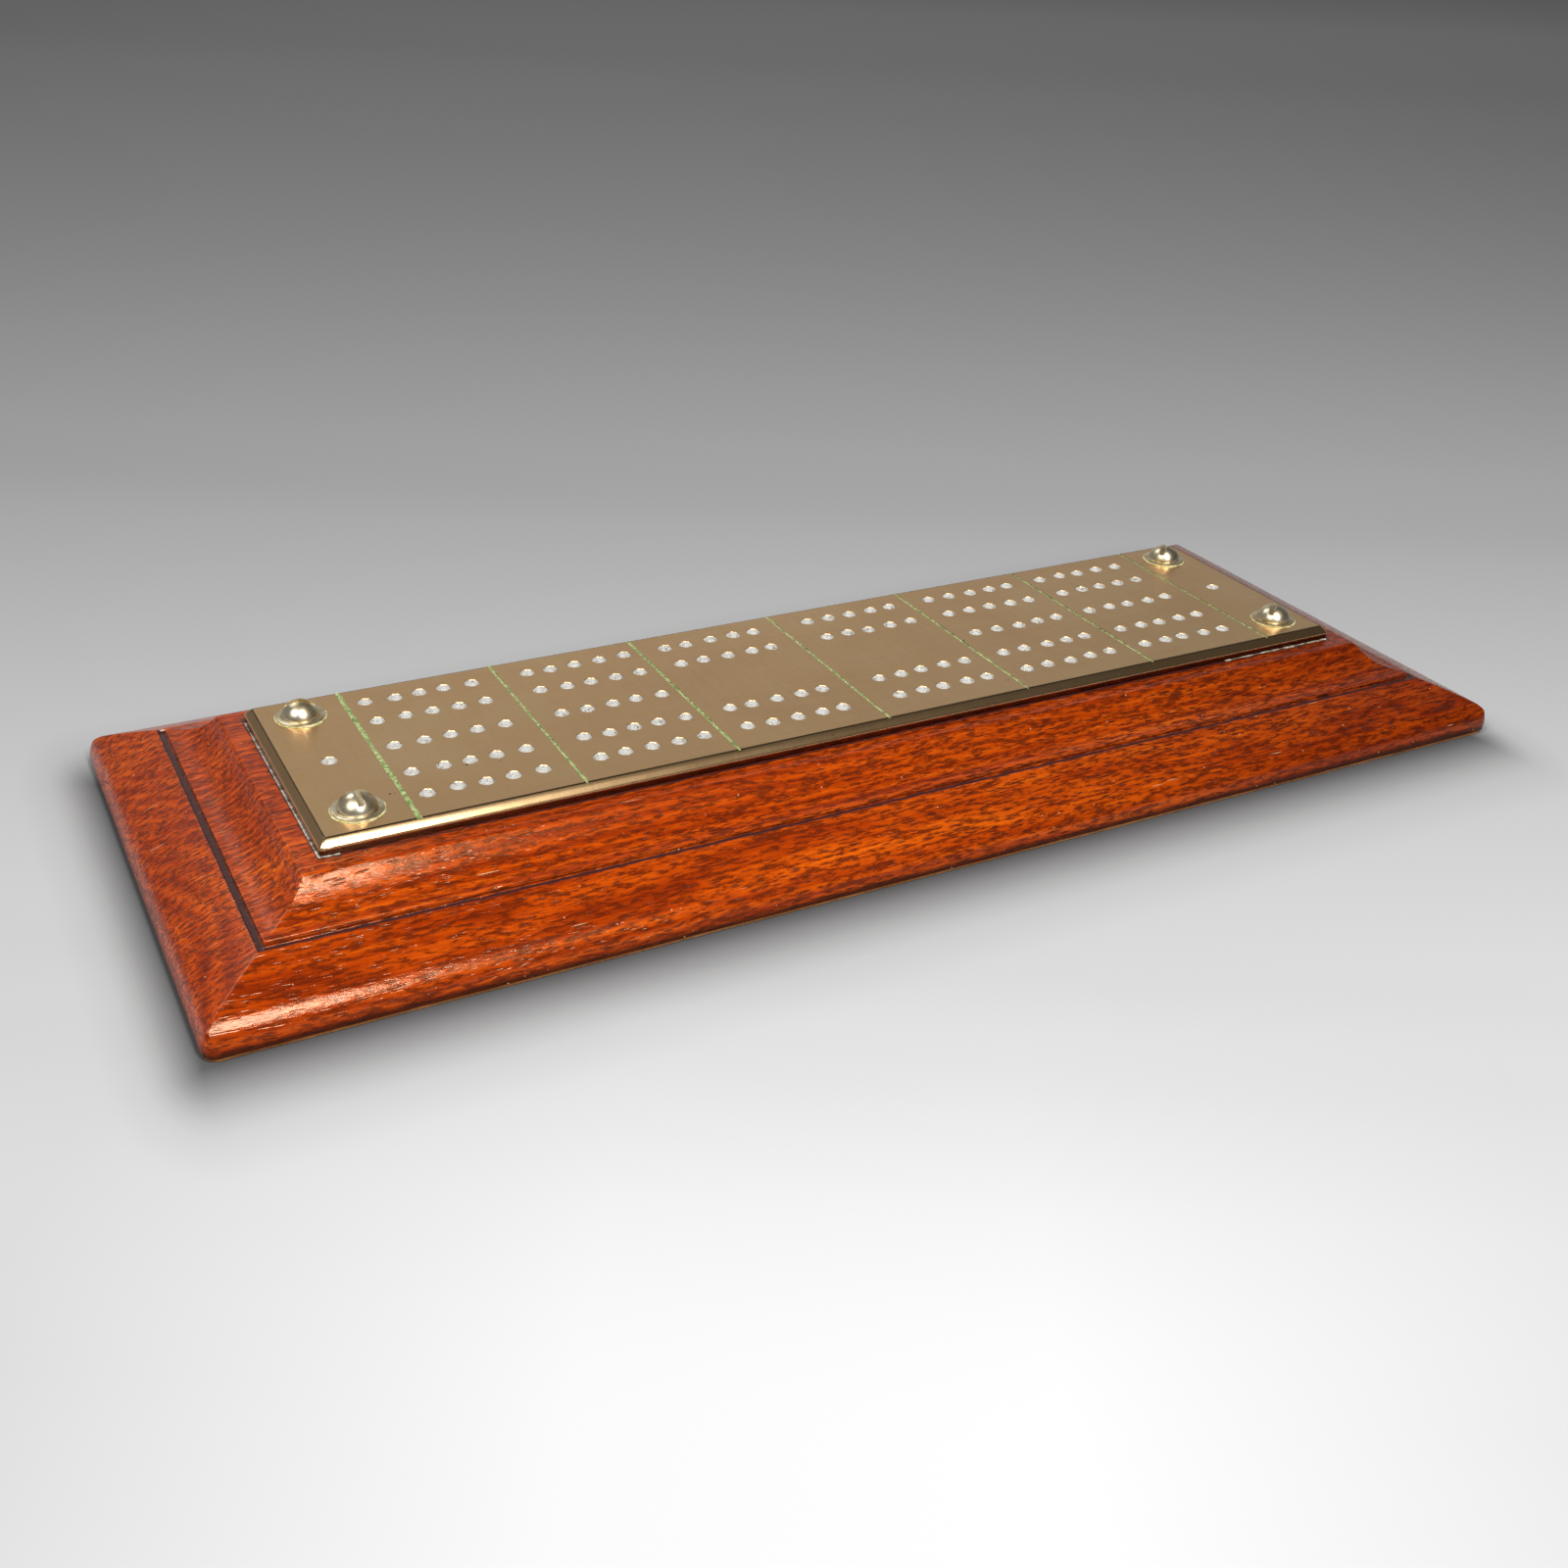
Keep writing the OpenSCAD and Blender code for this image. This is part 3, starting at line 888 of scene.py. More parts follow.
    # Dark wax in the quirk and along the rim's foot, with painted shade and a painted violet sheen in that
    # recess
    side_x = nodes.new("ShaderNodeMath")
    side_x.label = "Either end"
    side_x.operation = "ABSOLUTE"
    side_y = nodes.new("ShaderNodeMath")
    side_y.label = "Either side"
    side_y.operation = "ABSOLUTE"
    past_x = nodes.new("ShaderNodeMath")
    past_x.label = "Past the rim's ends"
    past_x.operation = "SUBTRACT"
    set_values(past_x, {1: rim[0]})
    past_y = nodes.new("ShaderNodeMath")
    past_y.label = "Past the rim's sides"
    past_y.operation = "SUBTRACT"
    set_values(past_y, {1: rim[1]})
    past_rim = nodes.new("ShaderNodeMath")
    past_rim.label = "Distance past the rim"
    past_rim.operation = "MAXIMUM"
    wax_lumps = nodes.new("ShaderNodeTexNoise")
    wax_lumps.label = "Uneven wax"
    set_values(wax_lumps, {"Scale": 260, "Detail": 4})
    wax_shift = nodes.new("ShaderNodeMapRange")
    wax_shift.label = "Ragged edge of the wax"
    set_values(wax_shift, {"To Min": -0.5 * MM, "To Max": 0.5 * MM})
    wax_place = nodes.new("ShaderNodeMath")
    wax_place.label = "Ragged distance"
    wax_place.operation = "ADD"
    wax_inner = nodes.new("ShaderNodeMapRange")
    wax_inner.label = "Wax starts"
    set_values(wax_inner, {"From Min": rim_band[0] - 0.2 * MM, "From Max": rim_band[0] + 0.1 * MM})
    wax_outer = nodes.new("ShaderNodeMapRange")
    wax_outer.label = "Wax ends"
    set_values(wax_outer, {"From Min": rim_band[1] + 0.35 * MM, "From Max": rim_band[1] - 0.15 * MM})
    wax_and_shade_mask = nodes.new("ShaderNodeMath")
    wax_and_shade_mask.label = "Waxed and shaded corner"
    wax_and_shade_mask.operation = "MULTIPLY"
    wax_and_shade_color = nodes.new("ShaderNodeMix")
    wax_and_shade_color.label = "Black wax and painted shade"
    wax_and_shade_color.data_type = "RGBA"
    set_values(wax_and_shade_color, {COLOR_B: (0.052, 0.020, 0.020, 1)})
    # Painted shade along the board's lowest edge, where shade falls under it
    low_shade_mask = nodes.new("ShaderNodeMapRange")
    low_shade_mask.label = "Painted shade low down"
    set_values(low_shade_mask, {"From Min": shaded_below + 1.2 * MM, "From Max": shaded_below, "To Max": 0.85})
    low_shade_color = nodes.new("ShaderNodeMix")
    low_shade_color.label = "Shaded foot"
    low_shade_color.data_type = "RGBA"
    set_values(low_shade_color, {COLOR_B: (0.035, 0.008, 0.004, 1)})
    # Knocks and scratches
    scratch_turn = nodes.new("ShaderNodeMapping")
    scratch_turn.label = "Scratches run across the grain"
    set_values(scratch_turn, {"Rotation": (0, 0, math.radians(62)), "Scale": (90, 1500, 60)})
    scratches = nodes.new("ShaderNodeTexNoise")
    scratches.label = "Scratches"
    set_values(scratches, {"Scale": 1, "Detail": 1})
    scratch_mask = nodes.new("ShaderNodeMapRange")
    scratch_mask.label = "Only the deepest scratches"
    set_values(scratch_mask, {"From Min": 0.77, "From Max": 0.82})
    speck_cells = nodes.new("ShaderNodeTexVoronoi")
    speck_cells.label = "Tiny knocks"
    set_values(speck_cells, {"Scale": 520})
    speck_size = nodes.new("ShaderNodeMapRange")
    speck_size.label = "Size of a knock"
    set_values(speck_size, {"From Min": 0.14, "From Max": 0.05})
    speck_pick = nodes.new("ShaderNodeMapRange")
    speck_pick.label = "Few of them"
    set_values(speck_pick, {"From Min": 0.78, "From Max": 0.84})
    specks = nodes.new("ShaderNodeMath")
    specks.label = "Knocks"
    specks.operation = "MULTIPLY"
    worn = nodes.new("ShaderNodeMath")
    worn.label = "Scratches and knocks"
    worn.operation = "MAXIMUM"
    worn_color = nodes.new("ShaderNodeMix")
    worn_color.label = "Pale bare wood in them"
    worn_color.data_type = "RGBA"
    set_values(worn_color, {COLOR_B: (0.72, 0.36, 0.17, 1)})
    # Surface
    gloss = nodes.new("ShaderNodeMapRange")
    gloss.label = "Polish thinner on the fibres"
    set_values(gloss, {"To Min": 0.3, "To Max": 0.15})
    depth = nodes.new("ShaderNodeMath")
    depth.label = "Pores are hollows"
    depth.operation = "SUBTRACT"
    worn_depth = nodes.new("ShaderNodeMath")
    worn_depth.label = "So are the knocks"
    worn_depth.operation = "SUBTRACT"
    wavy = nodes.new("ShaderNodeTexNoise")
    wavy.label = "Scraped surface"
    set_values(wavy, {"Scale": 1, "Detail": 3})
    wavy_stretch = nodes.new("ShaderNodeMapping")
    wavy_stretch.label = "Scraped along the board"
    set_values(wavy_stretch, {"Scale": (60, 240, 240)})
    wavy_bump = nodes.new("ShaderNodeBump")
    wavy_bump.label = "Slight waves"
    set_values(wavy_bump, {"Strength": 0.5, "Distance": 0.25 * MM})
    grain_bump = nodes.new("ShaderNodeBump")
    grain_bump.label = "Open grain"
    set_values(grain_bump, {"Strength": 0.8, "Distance": 0.12 * MM})
    set_values(polish, {"Specular IOR Level": 0.5, "Specular Tint": (1, 0.5, 0.22, 1), "Coat Weight": 0.2,
                        "Coat Roughness": 0.13})
    links.new(place.outputs["Object"], apart.inputs["Vector"])
    links.new(place.outputs["Object"], sway_stretch.inputs["Vector"])
    links.new(sway_stretch.outputs["Vector"], sway.inputs["Vector"])
    links.new(sway.outputs["Color"], sway_centre.inputs[0])
    links.new(sway_centre.outputs["Vector"], sway_size.inputs[0])
    links.new(place.outputs["Object"], grain_place.inputs[0])
    links.new(sway_size.outputs["Vector"], grain_place.inputs[1])
    links.new(grain_place.outputs["Vector"], heart_place.inputs["Vector"])
    links.new(heart_place.outputs["Vector"], bands.inputs["Vector"])
    links.new(grain_place.outputs["Vector"], streak_stretch.inputs["Vector"])
    links.new(streak_stretch.outputs["Vector"], streaks.inputs["Vector"])
    links.new(grain_place.outputs["Vector"], ribbon_stretch.inputs["Vector"])
    links.new(ribbon_stretch.outputs["Vector"], ribbon.inputs["Vector"])
    links.new(bands.outputs["Fac"], figure.inputs["A"])
    links.new(streaks.outputs["Fac"], figure.inputs["B"])
    links.new(figure.outputs["Result"], figured.inputs["A"])
    links.new(ribbon.outputs["Fac"], figured.inputs["B"])
    links.new(figured.outputs["Result"], tone.inputs["Fac"])
    links.new(grain_place.outputs["Vector"], fibre_stretch.inputs["Vector"])
    links.new(fibre_stretch.outputs["Vector"], fibres.inputs["Vector"])
    links.new(fibres.outputs["Fac"], fibre_dark.inputs["Value"])
    links.new(tone.outputs["Color"], fibre_color.inputs[COLOR_A])
    links.new(fibre_dark.outputs["Result"], fibre_color.inputs["Factor"])
    links.new(grain_place.outputs["Vector"], pore_stretch.inputs["Vector"])
    links.new(pore_stretch.outputs["Vector"], pores.inputs["Vector"])
    links.new(pores.outputs["Distance"], pore_dark.inputs["Value"])
    links.new(ribbon.outputs["Fac"], pore_crowd.inputs["Value"])
    links.new(pore_dark.outputs["Result"], pore_mask.inputs[0])
    links.new(pore_crowd.outputs["Result"], pore_mask.inputs[1])
    links.new(fibre_color.outputs[COLOR_OUT], pore_color.inputs[COLOR_A])
    links.new(pore_mask.outputs["Value"], pore_color.inputs["Factor"])
    links.new(apart.outputs["X"], deeper_shaded_right.inputs["Value"])
    links.new(deeper_shaded_right.outputs["Result"], deep_and_shaded_color.inputs["Factor"])
    links.new(pore_color.outputs[COLOR_OUT], deep_and_shaded_color.inputs[COLOR_A])
    links.new(apart.outputs["X"], side_x.inputs[0])
    links.new(apart.outputs["Y"], side_y.inputs[0])
    links.new(side_x.outputs["Value"], past_x.inputs[0])
    links.new(side_y.outputs["Value"], past_y.inputs[0])
    links.new(past_x.outputs["Value"], past_rim.inputs[0])
    links.new(past_y.outputs["Value"], past_rim.inputs[1])
    links.new(place.outputs["Object"], wax_lumps.inputs["Vector"])
    links.new(wax_lumps.outputs["Fac"], wax_shift.inputs["Value"])
    links.new(past_rim.outputs["Value"], wax_place.inputs[0])
    links.new(wax_shift.outputs["Result"], wax_place.inputs[1])
    links.new(wax_place.outputs["Value"], wax_inner.inputs["Value"])
    links.new(wax_place.outputs["Value"], wax_outer.inputs["Value"])
    links.new(wax_inner.outputs["Result"], wax_and_shade_mask.inputs[0])
    links.new(wax_outer.outputs["Result"], wax_and_shade_mask.inputs[1])
    links.new(deep_and_shaded_color.outputs[COLOR_OUT], wax_and_shade_color.inputs[COLOR_A])
    links.new(wax_and_shade_mask.outputs["Value"], wax_and_shade_color.inputs["Factor"])
    links.new(apart.outputs["Z"], low_shade_mask.inputs["Value"])
    links.new(wax_and_shade_color.outputs[COLOR_OUT], low_shade_color.inputs[COLOR_A])
    links.new(low_shade_mask.outputs["Result"], low_shade_color.inputs["Factor"])
    links.new(place.outputs["Object"], scratch_turn.inputs["Vector"])
    links.new(scratch_turn.outputs["Vector"], scratches.inputs["Vector"])
    links.new(scratches.outputs["Fac"], scratch_mask.inputs["Value"])
    links.new(place.outputs["Object"], speck_cells.inputs["Vector"])
    links.new(speck_cells.outputs["Distance"], speck_size.inputs["Value"])
    links.new(speck_cells.outputs["Color"], speck_pick.inputs["Value"])
    links.new(speck_size.outputs["Result"], specks.inputs[0])
    links.new(speck_pick.outputs["Result"], specks.inputs[1])
    links.new(scratch_mask.outputs["Result"], worn.inputs[0])
    links.new(specks.outputs["Value"], worn.inputs[1])
    links.new(low_shade_color.outputs[COLOR_OUT], worn_color.inputs[COLOR_A])
    links.new(worn.outputs["Value"], worn_color.inputs["Factor"])
    links.new(worn_color.outputs[COLOR_OUT], polish.inputs["Base Color"])
    links.new(fibres.outputs["Fac"], gloss.inputs["Value"])
    links.new(gloss.outputs["Result"], polish.inputs["Roughness"])
    links.new(fibres.outputs["Fac"], depth.inputs[0])
    links.new(pore_mask.outputs["Value"], depth.inputs[1])
    links.new(depth.outputs["Value"], worn_depth.inputs[0])
    links.new(worn.outputs["Value"], worn_depth.inputs[1])
    links.new(place.outputs["Object"], wavy_stretch.inputs["Vector"])
    links.new(wavy_stretch.outputs["Vector"], wavy.inputs["Vector"])
    links.new(wavy.outputs["Fac"], wavy_bump.inputs["Height"])
    links.new(worn_depth.outputs["Value"], grain_bump.inputs["Height"])
    links.new(wavy_bump.outputs["Normal"], grain_bump.inputs["Normal"])
    links.new(grain_bump.outputs["Normal"], polish.inputs["Normal"])
    links.new(grain_bump.outputs["Normal"], polish.inputs["Coat Normal"])
    lay_out(tree, (
        ("Place on the board", (place, apart, sway_stretch, sway, sway_centre, sway_size, grain_place)),
        ("Figure", (heart_place, bands, streak_stretch, streaks, ribbon_stretch, ribbon, figure, figured,
                    tone)),
        ("Fibres and pores", (fibre_stretch, fibres, fibre_dark, fibre_color, pore_stretch, pores,
                              pore_dark, pore_crowd, pore_mask, pore_color, deeper_shaded_right, deep_and_shaded_color)),
        ("Wax and painted shade", (side_x, side_y, past_x, past_y, past_rim, wax_lumps, wax_shift, wax_place,
                          wax_inner, wax_outer, wax_and_shade_mask, wax_and_shade_color, low_shade_mask, low_shade_color)),
        ("Knocks and scratches", (scratch_turn, scratches, scratch_mask, speck_cells, speck_size,
                                  speck_pick, specks, worn, worn_color)),
        ("Polish", (gloss, depth, worn_depth, wavy_stretch, wavy, wavy_bump, grain_bump, polish, output)),
    ))
    return material


def brushed_brass(name, half_x, half_y, top):
    """Satin brass brushed along x, with a dark line above its bevel and painted shadow low on its sides."""
    material, metal, output = new_material(name, "Satin brass", "Plate surface")
    tree = material.node_tree
    nodes, links = tree.nodes, tree.links
    place = nodes.new("ShaderNodeTexCoord")
    place.label = "Place on the plate"
    apart = nodes.new("ShaderNodeSeparateXYZ")
    apart.label = "Along, across and up"
    brush_stretch = nodes.new("ShaderNodeMapping")
    brush_stretch.label = "Brush marks run along the plate"
    set_values(brush_stretch, {"Scale": (70, 2800, 2800)})
    brush = nodes.new("ShaderNodeTexNoise")
    brush.label = "Brush marks"
    set_values(brush, {"Scale": 1, "Detail": 4, "Roughness": 0.7})
    cross_stretch = nodes.new("ShaderNodeMapping")
    cross_stretch.label = "Rubbing marks run across the plate"
    set_values(cross_stretch, {"Scale": (1300, 110, 110)})
    cross = nodes.new("ShaderNodeTexNoise")
    cross.label = "Rubbing marks"
    set_values(cross, {"Scale": 1, "Detail": 3})
    marks = nodes.new("ShaderNodeMix")
    marks.label = "Both ways of marks"
    set_values(marks, {"Factor": 0.35})
    mottle = nodes.new("ShaderNodeTexNoise")
    mottle.label = "Mottled tarnish"
    set_values(mottle, {"Scale": 26, "Detail": 6, "Roughness": 0.6})
    tone = nodes.new("ShaderNodeValToRGB")
    tone.label = "Brass tones"
    stops = ((0.3, (0.87, 0.55, 0.27)), (0.5, (0.94, 0.61, 0.30)), (0.72, (0.98, 0.67, 0.35)))
    set_stops(tone, stops)
    mark_shade = nodes.new("ShaderNodeMapRange")
    mark_shade.label = "Shade of the marks"
    set_values(mark_shade, {"From Min": 0.3, "From Max": 0.7, "To Min": 0.22, "To Max": 0})
    marked = nodes.new("ShaderNodeMix")
    marked.label = "Marked brass"
    marked.data_type = "RGBA"
    set_values(marked, {COLOR_B: (0.50, 0.29, 0.13, 1)})
    # Spots
    spot_cells = nodes.new("ShaderNodeTexVoronoi")
    spot_cells.label = "Tarnish spots"
    set_values(spot_cells, {"Scale": 260})
    spot_size = nodes.new("ShaderNodeMapRange")
    spot_size.label = "Size of a spot"
    set_values(spot_size, {"From Min": 0.11, "From Max": 0.05})
    spot_pick = nodes.new("ShaderNodeMapRange")
    spot_pick.label = "Few of them"
    set_values(spot_pick, {"From Min": 0.9, "From Max": 0.93})
    spots = nodes.new("ShaderNodeMath")
    spots.label = "Spots"
    spots.operation = "MULTIPLY"
    spotted = nodes.new("ShaderNodeMix")
    spotted.label = "Brown spots"
    spotted.data_type = "RGBA"
    set_values(spotted, {COLOR_B: (0.20, 0.10, 0.05, 1)})
    # Edges
    side_x = nodes.new("ShaderNodeMath")
    side_x.label = "Either end"
    side_x.operation = "ABSOLUTE"
    side_y = nodes.new("ShaderNodeMath")
    side_y.label = "Either side"
    side_y.operation = "ABSOLUTE"
    from_end = nodes.new("ShaderNodeMath")
    from_end.label = "In from the ends"
    from_end.operation = "SUBTRACT"
    set_values(from_end, {0: half_x})
    from_side = nodes.new("ShaderNodeMath")
    from_side.label = "In from the sides"
    from_side.operation = "SUBTRACT"
    set_values(from_side, {0: half_y})
    inset = nodes.new("ShaderNodeMath")
    inset.label = "Distance in from the edge"
    inset.operation = "MINIMUM"
    # A dark line is coloured along the arris above the bevel
    arris = nodes.new("ShaderNodeMath")
    arris.label = "Distance from the arris"
    arris.operation = "SUBTRACT"
    set_values(arris, {1: PLATE_BEVEL + 0.05 * MM})
    arris_away = nodes.new("ShaderNodeMath")
    arris_away.label = "Either side of the arris"
    arris_away.operation = "ABSOLUTE"
    arris_line = nodes.new("ShaderNodeMapRange")
    arris_line.label = "Dark line on the arris"
    set_values(arris_line, {"From Min": 0.22 * MM, "From Max": 0.1 * MM, "To Max": 0.9})
    arris_color = nodes.new("ShaderNodeMix")
    arris_color.label = "Darkened arris"
    arris_color.data_type = "RGBA"
    set_values(arris_color, {COLOR_B: (0.035, 0.025, 0.015, 1)})
    # Painted shadow low on the plate's sides, where the plate meets the wood
    low = nodes.new("ShaderNodeMapRange")
    low.label = "Low on the plate's side"
    set_values(low, {"From Min": top - 1.5 * MM, "From Max": top - 2.1 * MM, "To Max": 0.92})
    foot_shadow_color = nodes.new("ShaderNodeMix")
    foot_shadow_color.label = "Painted shadow at the foot"
    foot_shadow_color.data_type = "RGBA"
    set_values(foot_shadow_color, {COLOR_B: (0.06, 0.038, 0.024, 1)})
    # Surface
    gloss = nodes.new("ShaderNodeMapRange")
    gloss.label = "Gloss between the marks"
    set_values(gloss, {"To Min": 0.44, "To Max": 0.26})
    bevel_gloss = nodes.new("ShaderNodeMapRange")
    bevel_gloss.label = "Bevel polished smoother"
    set_values(bevel_gloss, {"From Min": PLATE_BEVEL - 0.2 * MM, "From Max": PLATE_BEVEL + 0.2 * MM,
                             "To Min": 0.62})
    gloss_all = nodes.new("ShaderNodeMath")
    gloss_all.label = "Roughness"
    gloss_all.operation = "MULTIPLY"
    mark_bump = nodes.new("ShaderNodeBump")
    mark_bump.label = "Fine brush marks"
    set_values(mark_bump, {"Strength": 0.35, "Distance": 0.015 * MM})
    set_values(metal, {"Metallic": 1})
    links.new(place.outputs["Object"], apart.inputs["Vector"])
    links.new(place.outputs["Object"], brush_stretch.inputs["Vector"])
    links.new(brush_stretch.outputs["Vector"], brush.inputs["Vector"])
    links.new(place.outputs["Object"], cross_stretch.inputs["Vector"])
    links.new(cross_stretch.outputs["Vector"], cross.inputs["Vector"])
    links.new(brush.outputs["Fac"], marks.inputs["A"])
    links.new(cross.outputs["Fac"], marks.inputs["B"])
    links.new(place.outputs["Object"], mottle.inputs["Vector"])
    links.new(mottle.outputs["Fac"], tone.inputs["Fac"])
    links.new(marks.outputs["Result"], mark_shade.inputs["Value"])
    links.new(tone.outputs["Color"], marked.inputs[COLOR_A])
    links.new(mark_shade.outputs["Result"], marked.inputs["Factor"])
    links.new(place.outputs["Object"], spot_cells.inputs["Vector"])
    links.new(spot_cells.outputs["Distance"], spot_size.inputs["Value"])
    links.new(spot_cells.outputs["Color"], spot_pick.inputs["Value"])
    links.new(spot_size.outputs["Result"], spots.inputs[0])
    links.new(spot_pick.outputs["Result"], spots.inputs[1])
    links.new(marked.outputs[COLOR_OUT], spotted.inputs[COLOR_A])
    links.new(spots.outputs["Value"], spotted.inputs["Factor"])
    links.new(apart.outputs["X"], side_x.inputs[0])
    links.new(apart.outputs["Y"], side_y.inputs[0])
    links.new(side_x.outputs["Value"], from_end.inputs[1])
    links.new(side_y.outputs["Value"], from_side.inputs[1])
    links.new(from_end.outputs["Value"], inset.inputs[0])
    links.new(from_side.outputs["Value"], inset.inputs[1])
    links.new(inset.outputs["Value"], arris.inputs[0])
    links.new(arris.outputs["Value"], arris_away.inputs[0])
    links.new(arris_away.outputs["Value"], arris_line.inputs["Value"])
    links.new(spotted.outputs[COLOR_OUT], arris_color.inputs[COLOR_A])
    links.new(arris_line.outputs["Result"], arris_color.inputs["Factor"])
    links.new(apart.outputs["Z"], low.inputs["Value"])
    links.new(arris_color.outputs[COLOR_OUT], foot_shadow_color.inputs[COLOR_A])
    links.new(low.outputs["Result"], foot_shadow_color.inputs["Factor"])
    links.new(foot_shadow_color.outputs[COLOR_OUT], metal.inputs["Base Color"])
    links.new(marks.outputs["Result"], gloss.inputs["Value"])
    links.new(inset.outputs["Value"], bevel_gloss.inputs["Value"])
    links.new(gloss.outputs["Result"], gloss_all.inputs[0])
    links.new(bevel_gloss.outputs["Result"], gloss_all.inputs[1])
    links.new(gloss_all.outputs["Value"], metal.inputs["Roughness"])
    links.new(marks.outputs["Result"], mark_bump.inputs["Height"])
    links.new(mark_bump.outputs["Normal"], metal.inputs["Normal"])
    lay_out(tree, (
        ("Brush marks", (place, apart, brush_stretch, brush, cross_stretch, cross, marks)),
        ("Brass tones", (mottle, tone, mark_shade, marked)),
        ("Spots", (spot_cells, spot_size, spot_pick, spots, spotted)),
        ("Edges", (side_x, side_y, from_end, from_side, inset, arris, arris_away, arris_line,
                   arris_color, low, foot_shadow_color)),
        ("Metal", (gloss, bevel_gloss, gloss_all, mark_bump, metal, output)),
    ))
    return material


def polished_brass(name):
    """Bright lacquered brass of the screws and washers, with light tarnish and fine scratches."""
    material, metal, output = new_material(name, "Polished brass", "Screw surface")
    tree = material.node_tree
    nodes, links = tree.nodes, tree.links
    place = nodes.new("ShaderNodeTexCoord")
    place.label = "Place on the screw"
    tarnish = nodes.new("ShaderNodeTexNoise")
    tarnish.label = "Light tarnish"
    set_values(tarnish, {"Scale": 420, "Detail": 4})
    tone = nodes.new("ShaderNodeValToRGB")
    tone.label = "Bright to tarnished"
    stops = ((0.32, (0.55, 0.43, 0.22)), (0.5, (0.86, 0.75, 0.52)), (0.7, (0.96, 0.88, 0.70)))
    set_stops(tone, stops)
    scratch_stretch = nodes.new("ShaderNodeMapping")
    scratch_stretch.label = "Driver scratches"
    set_values(scratch_stretch, {"Rotation": (0, 0, math.radians(25)), "Scale": (300, 4200, 900)})
    scratches = nodes.new("ShaderNodeTexNoise")
    scratches.label = "Fine scratches"
    set_values(scratches, {"Scale": 1, "Detail": 3})
    gloss = nodes.new("ShaderNodeMapRange")
    gloss.label = "Duller where tarnished"
    set_values(gloss, {"From Min": 0.3, "From Max": 0.6, "To Min": 0.42, "To Max": 0.3})
    bump = nodes.new("ShaderNodeBump")
    bump.label = "Fine scratches in the polish"
    set_values(bump, {"Strength": 0.25, "Distance": 0.02 * MM})
    set_values(metal, {"Metallic": 1})
    links.new(place.outputs["Object"], tarnish.inputs["Vector"])
    links.new(tarnish.outputs["Fac"], tone.inputs["Fac"])
    links.new(tone.outputs["Color"], metal.inputs["Base Color"])
    links.new(tarnish.outputs["Fac"], gloss.inputs["Value"])
    links.new(gloss.outputs["Result"], metal.inputs["Roughness"])
    links.new(place.outputs["Object"], scratch_stretch.inputs["Vector"])
    links.new(scratch_stretch.outputs["Vector"], scratches.inputs["Vector"])
    links.new(scratches.outputs["Fac"], bump.inputs["Height"])
    links.new(bump.outputs["Normal"], metal.inputs["Normal"])
    lay_out(tree, (("Tarnish", (place, tarnish, tone, gloss)),
                   ("Scratches", (scratch_stretch, scratches, bump)), ("Metal", (metal, output))))
    return material


def dried_deposit(name, dark, mid, pale, lump, specular):
    """Crumbly dried polish, verdigris or dark pit lining in three tones, its lumps about lump metres apart;
    the peg holes' pale lining is partly painted reflection.
    """
    material, crust, output = new_material(name, "Crumbly crust", "Deposit surface")
    tree = material.node_tree
    nodes, links = tree.nodes, tree.links
    place = nodes.new("ShaderNodeTexCoord")
    place.label = "Place on the board"
    lumps = nodes.new("ShaderNodeTexNoise")
    lumps.label = "Lumps"
    set_values(lumps, {"Scale": 1 / lump, "Detail": 5, "Roughness": 0.65})
    crumbs = nodes.new("ShaderNodeTexVoronoi")
    crumbs.label = "Crumbs"
    set_values(crumbs, {"Scale": 4 / lump})
    tone = nodes.new("ShaderNodeValToRGB")
    tone.label = "Deposit tones"
    stops = ((0.34, dark), (0.45, mid), (0.62, pale))
    set_stops(tone, stops)
    crumb_shade = nodes.new("ShaderNodeMapRange")
    crumb_shade.label = "Gaps between the crumbs"
    set_values(crumb_shade, {"From Min": 0.35, "From Max": 0.75, "To Max": 0.5})
    shaded = nodes.new("ShaderNodeMix")
    shaded.label = "Darker gaps"
    shaded.data_type = "RGBA"
    set_values(shaded, {COLOR_B: (*dark, 1)})
    bump = nodes.new("ShaderNodeBump")
    bump.label = "Crumbly surface"
    set_values(bump, {"Strength": 0.7, "Distance": 0.15 * MM})
    set_values(crust, {"Roughness": 0.7, "Specular IOR Level": specular})
    links.new(place.outputs["Object"], lumps.inputs["Vector"])
    links.new(place.outputs["Object"], crumbs.inputs["Vector"])
    links.new(lumps.outputs["Fac"], tone.inputs["Fac"])
    links.new(crumbs.outputs["Distance"], crumb_shade.inputs["Value"])
    links.new(tone.outputs["Color"], shaded.inputs[COLOR_A])
    links.new(crumb_shade.outputs["Result"], shaded.inputs["Factor"])
    links.new(shaded.outputs[COLOR_OUT], crust.inputs["Base Color"])
    links.new(lumps.outputs["Fac"], bump.inputs["Height"])
    links.new(bump.outputs["Normal"], crust.inputs["Normal"])
    lay_out(tree, (("Lumps", (place, lumps, crumbs)), ("Tones", (tone, crumb_shade, shaded)),
                   ("Crust", (bump, crust, output))))
    return material


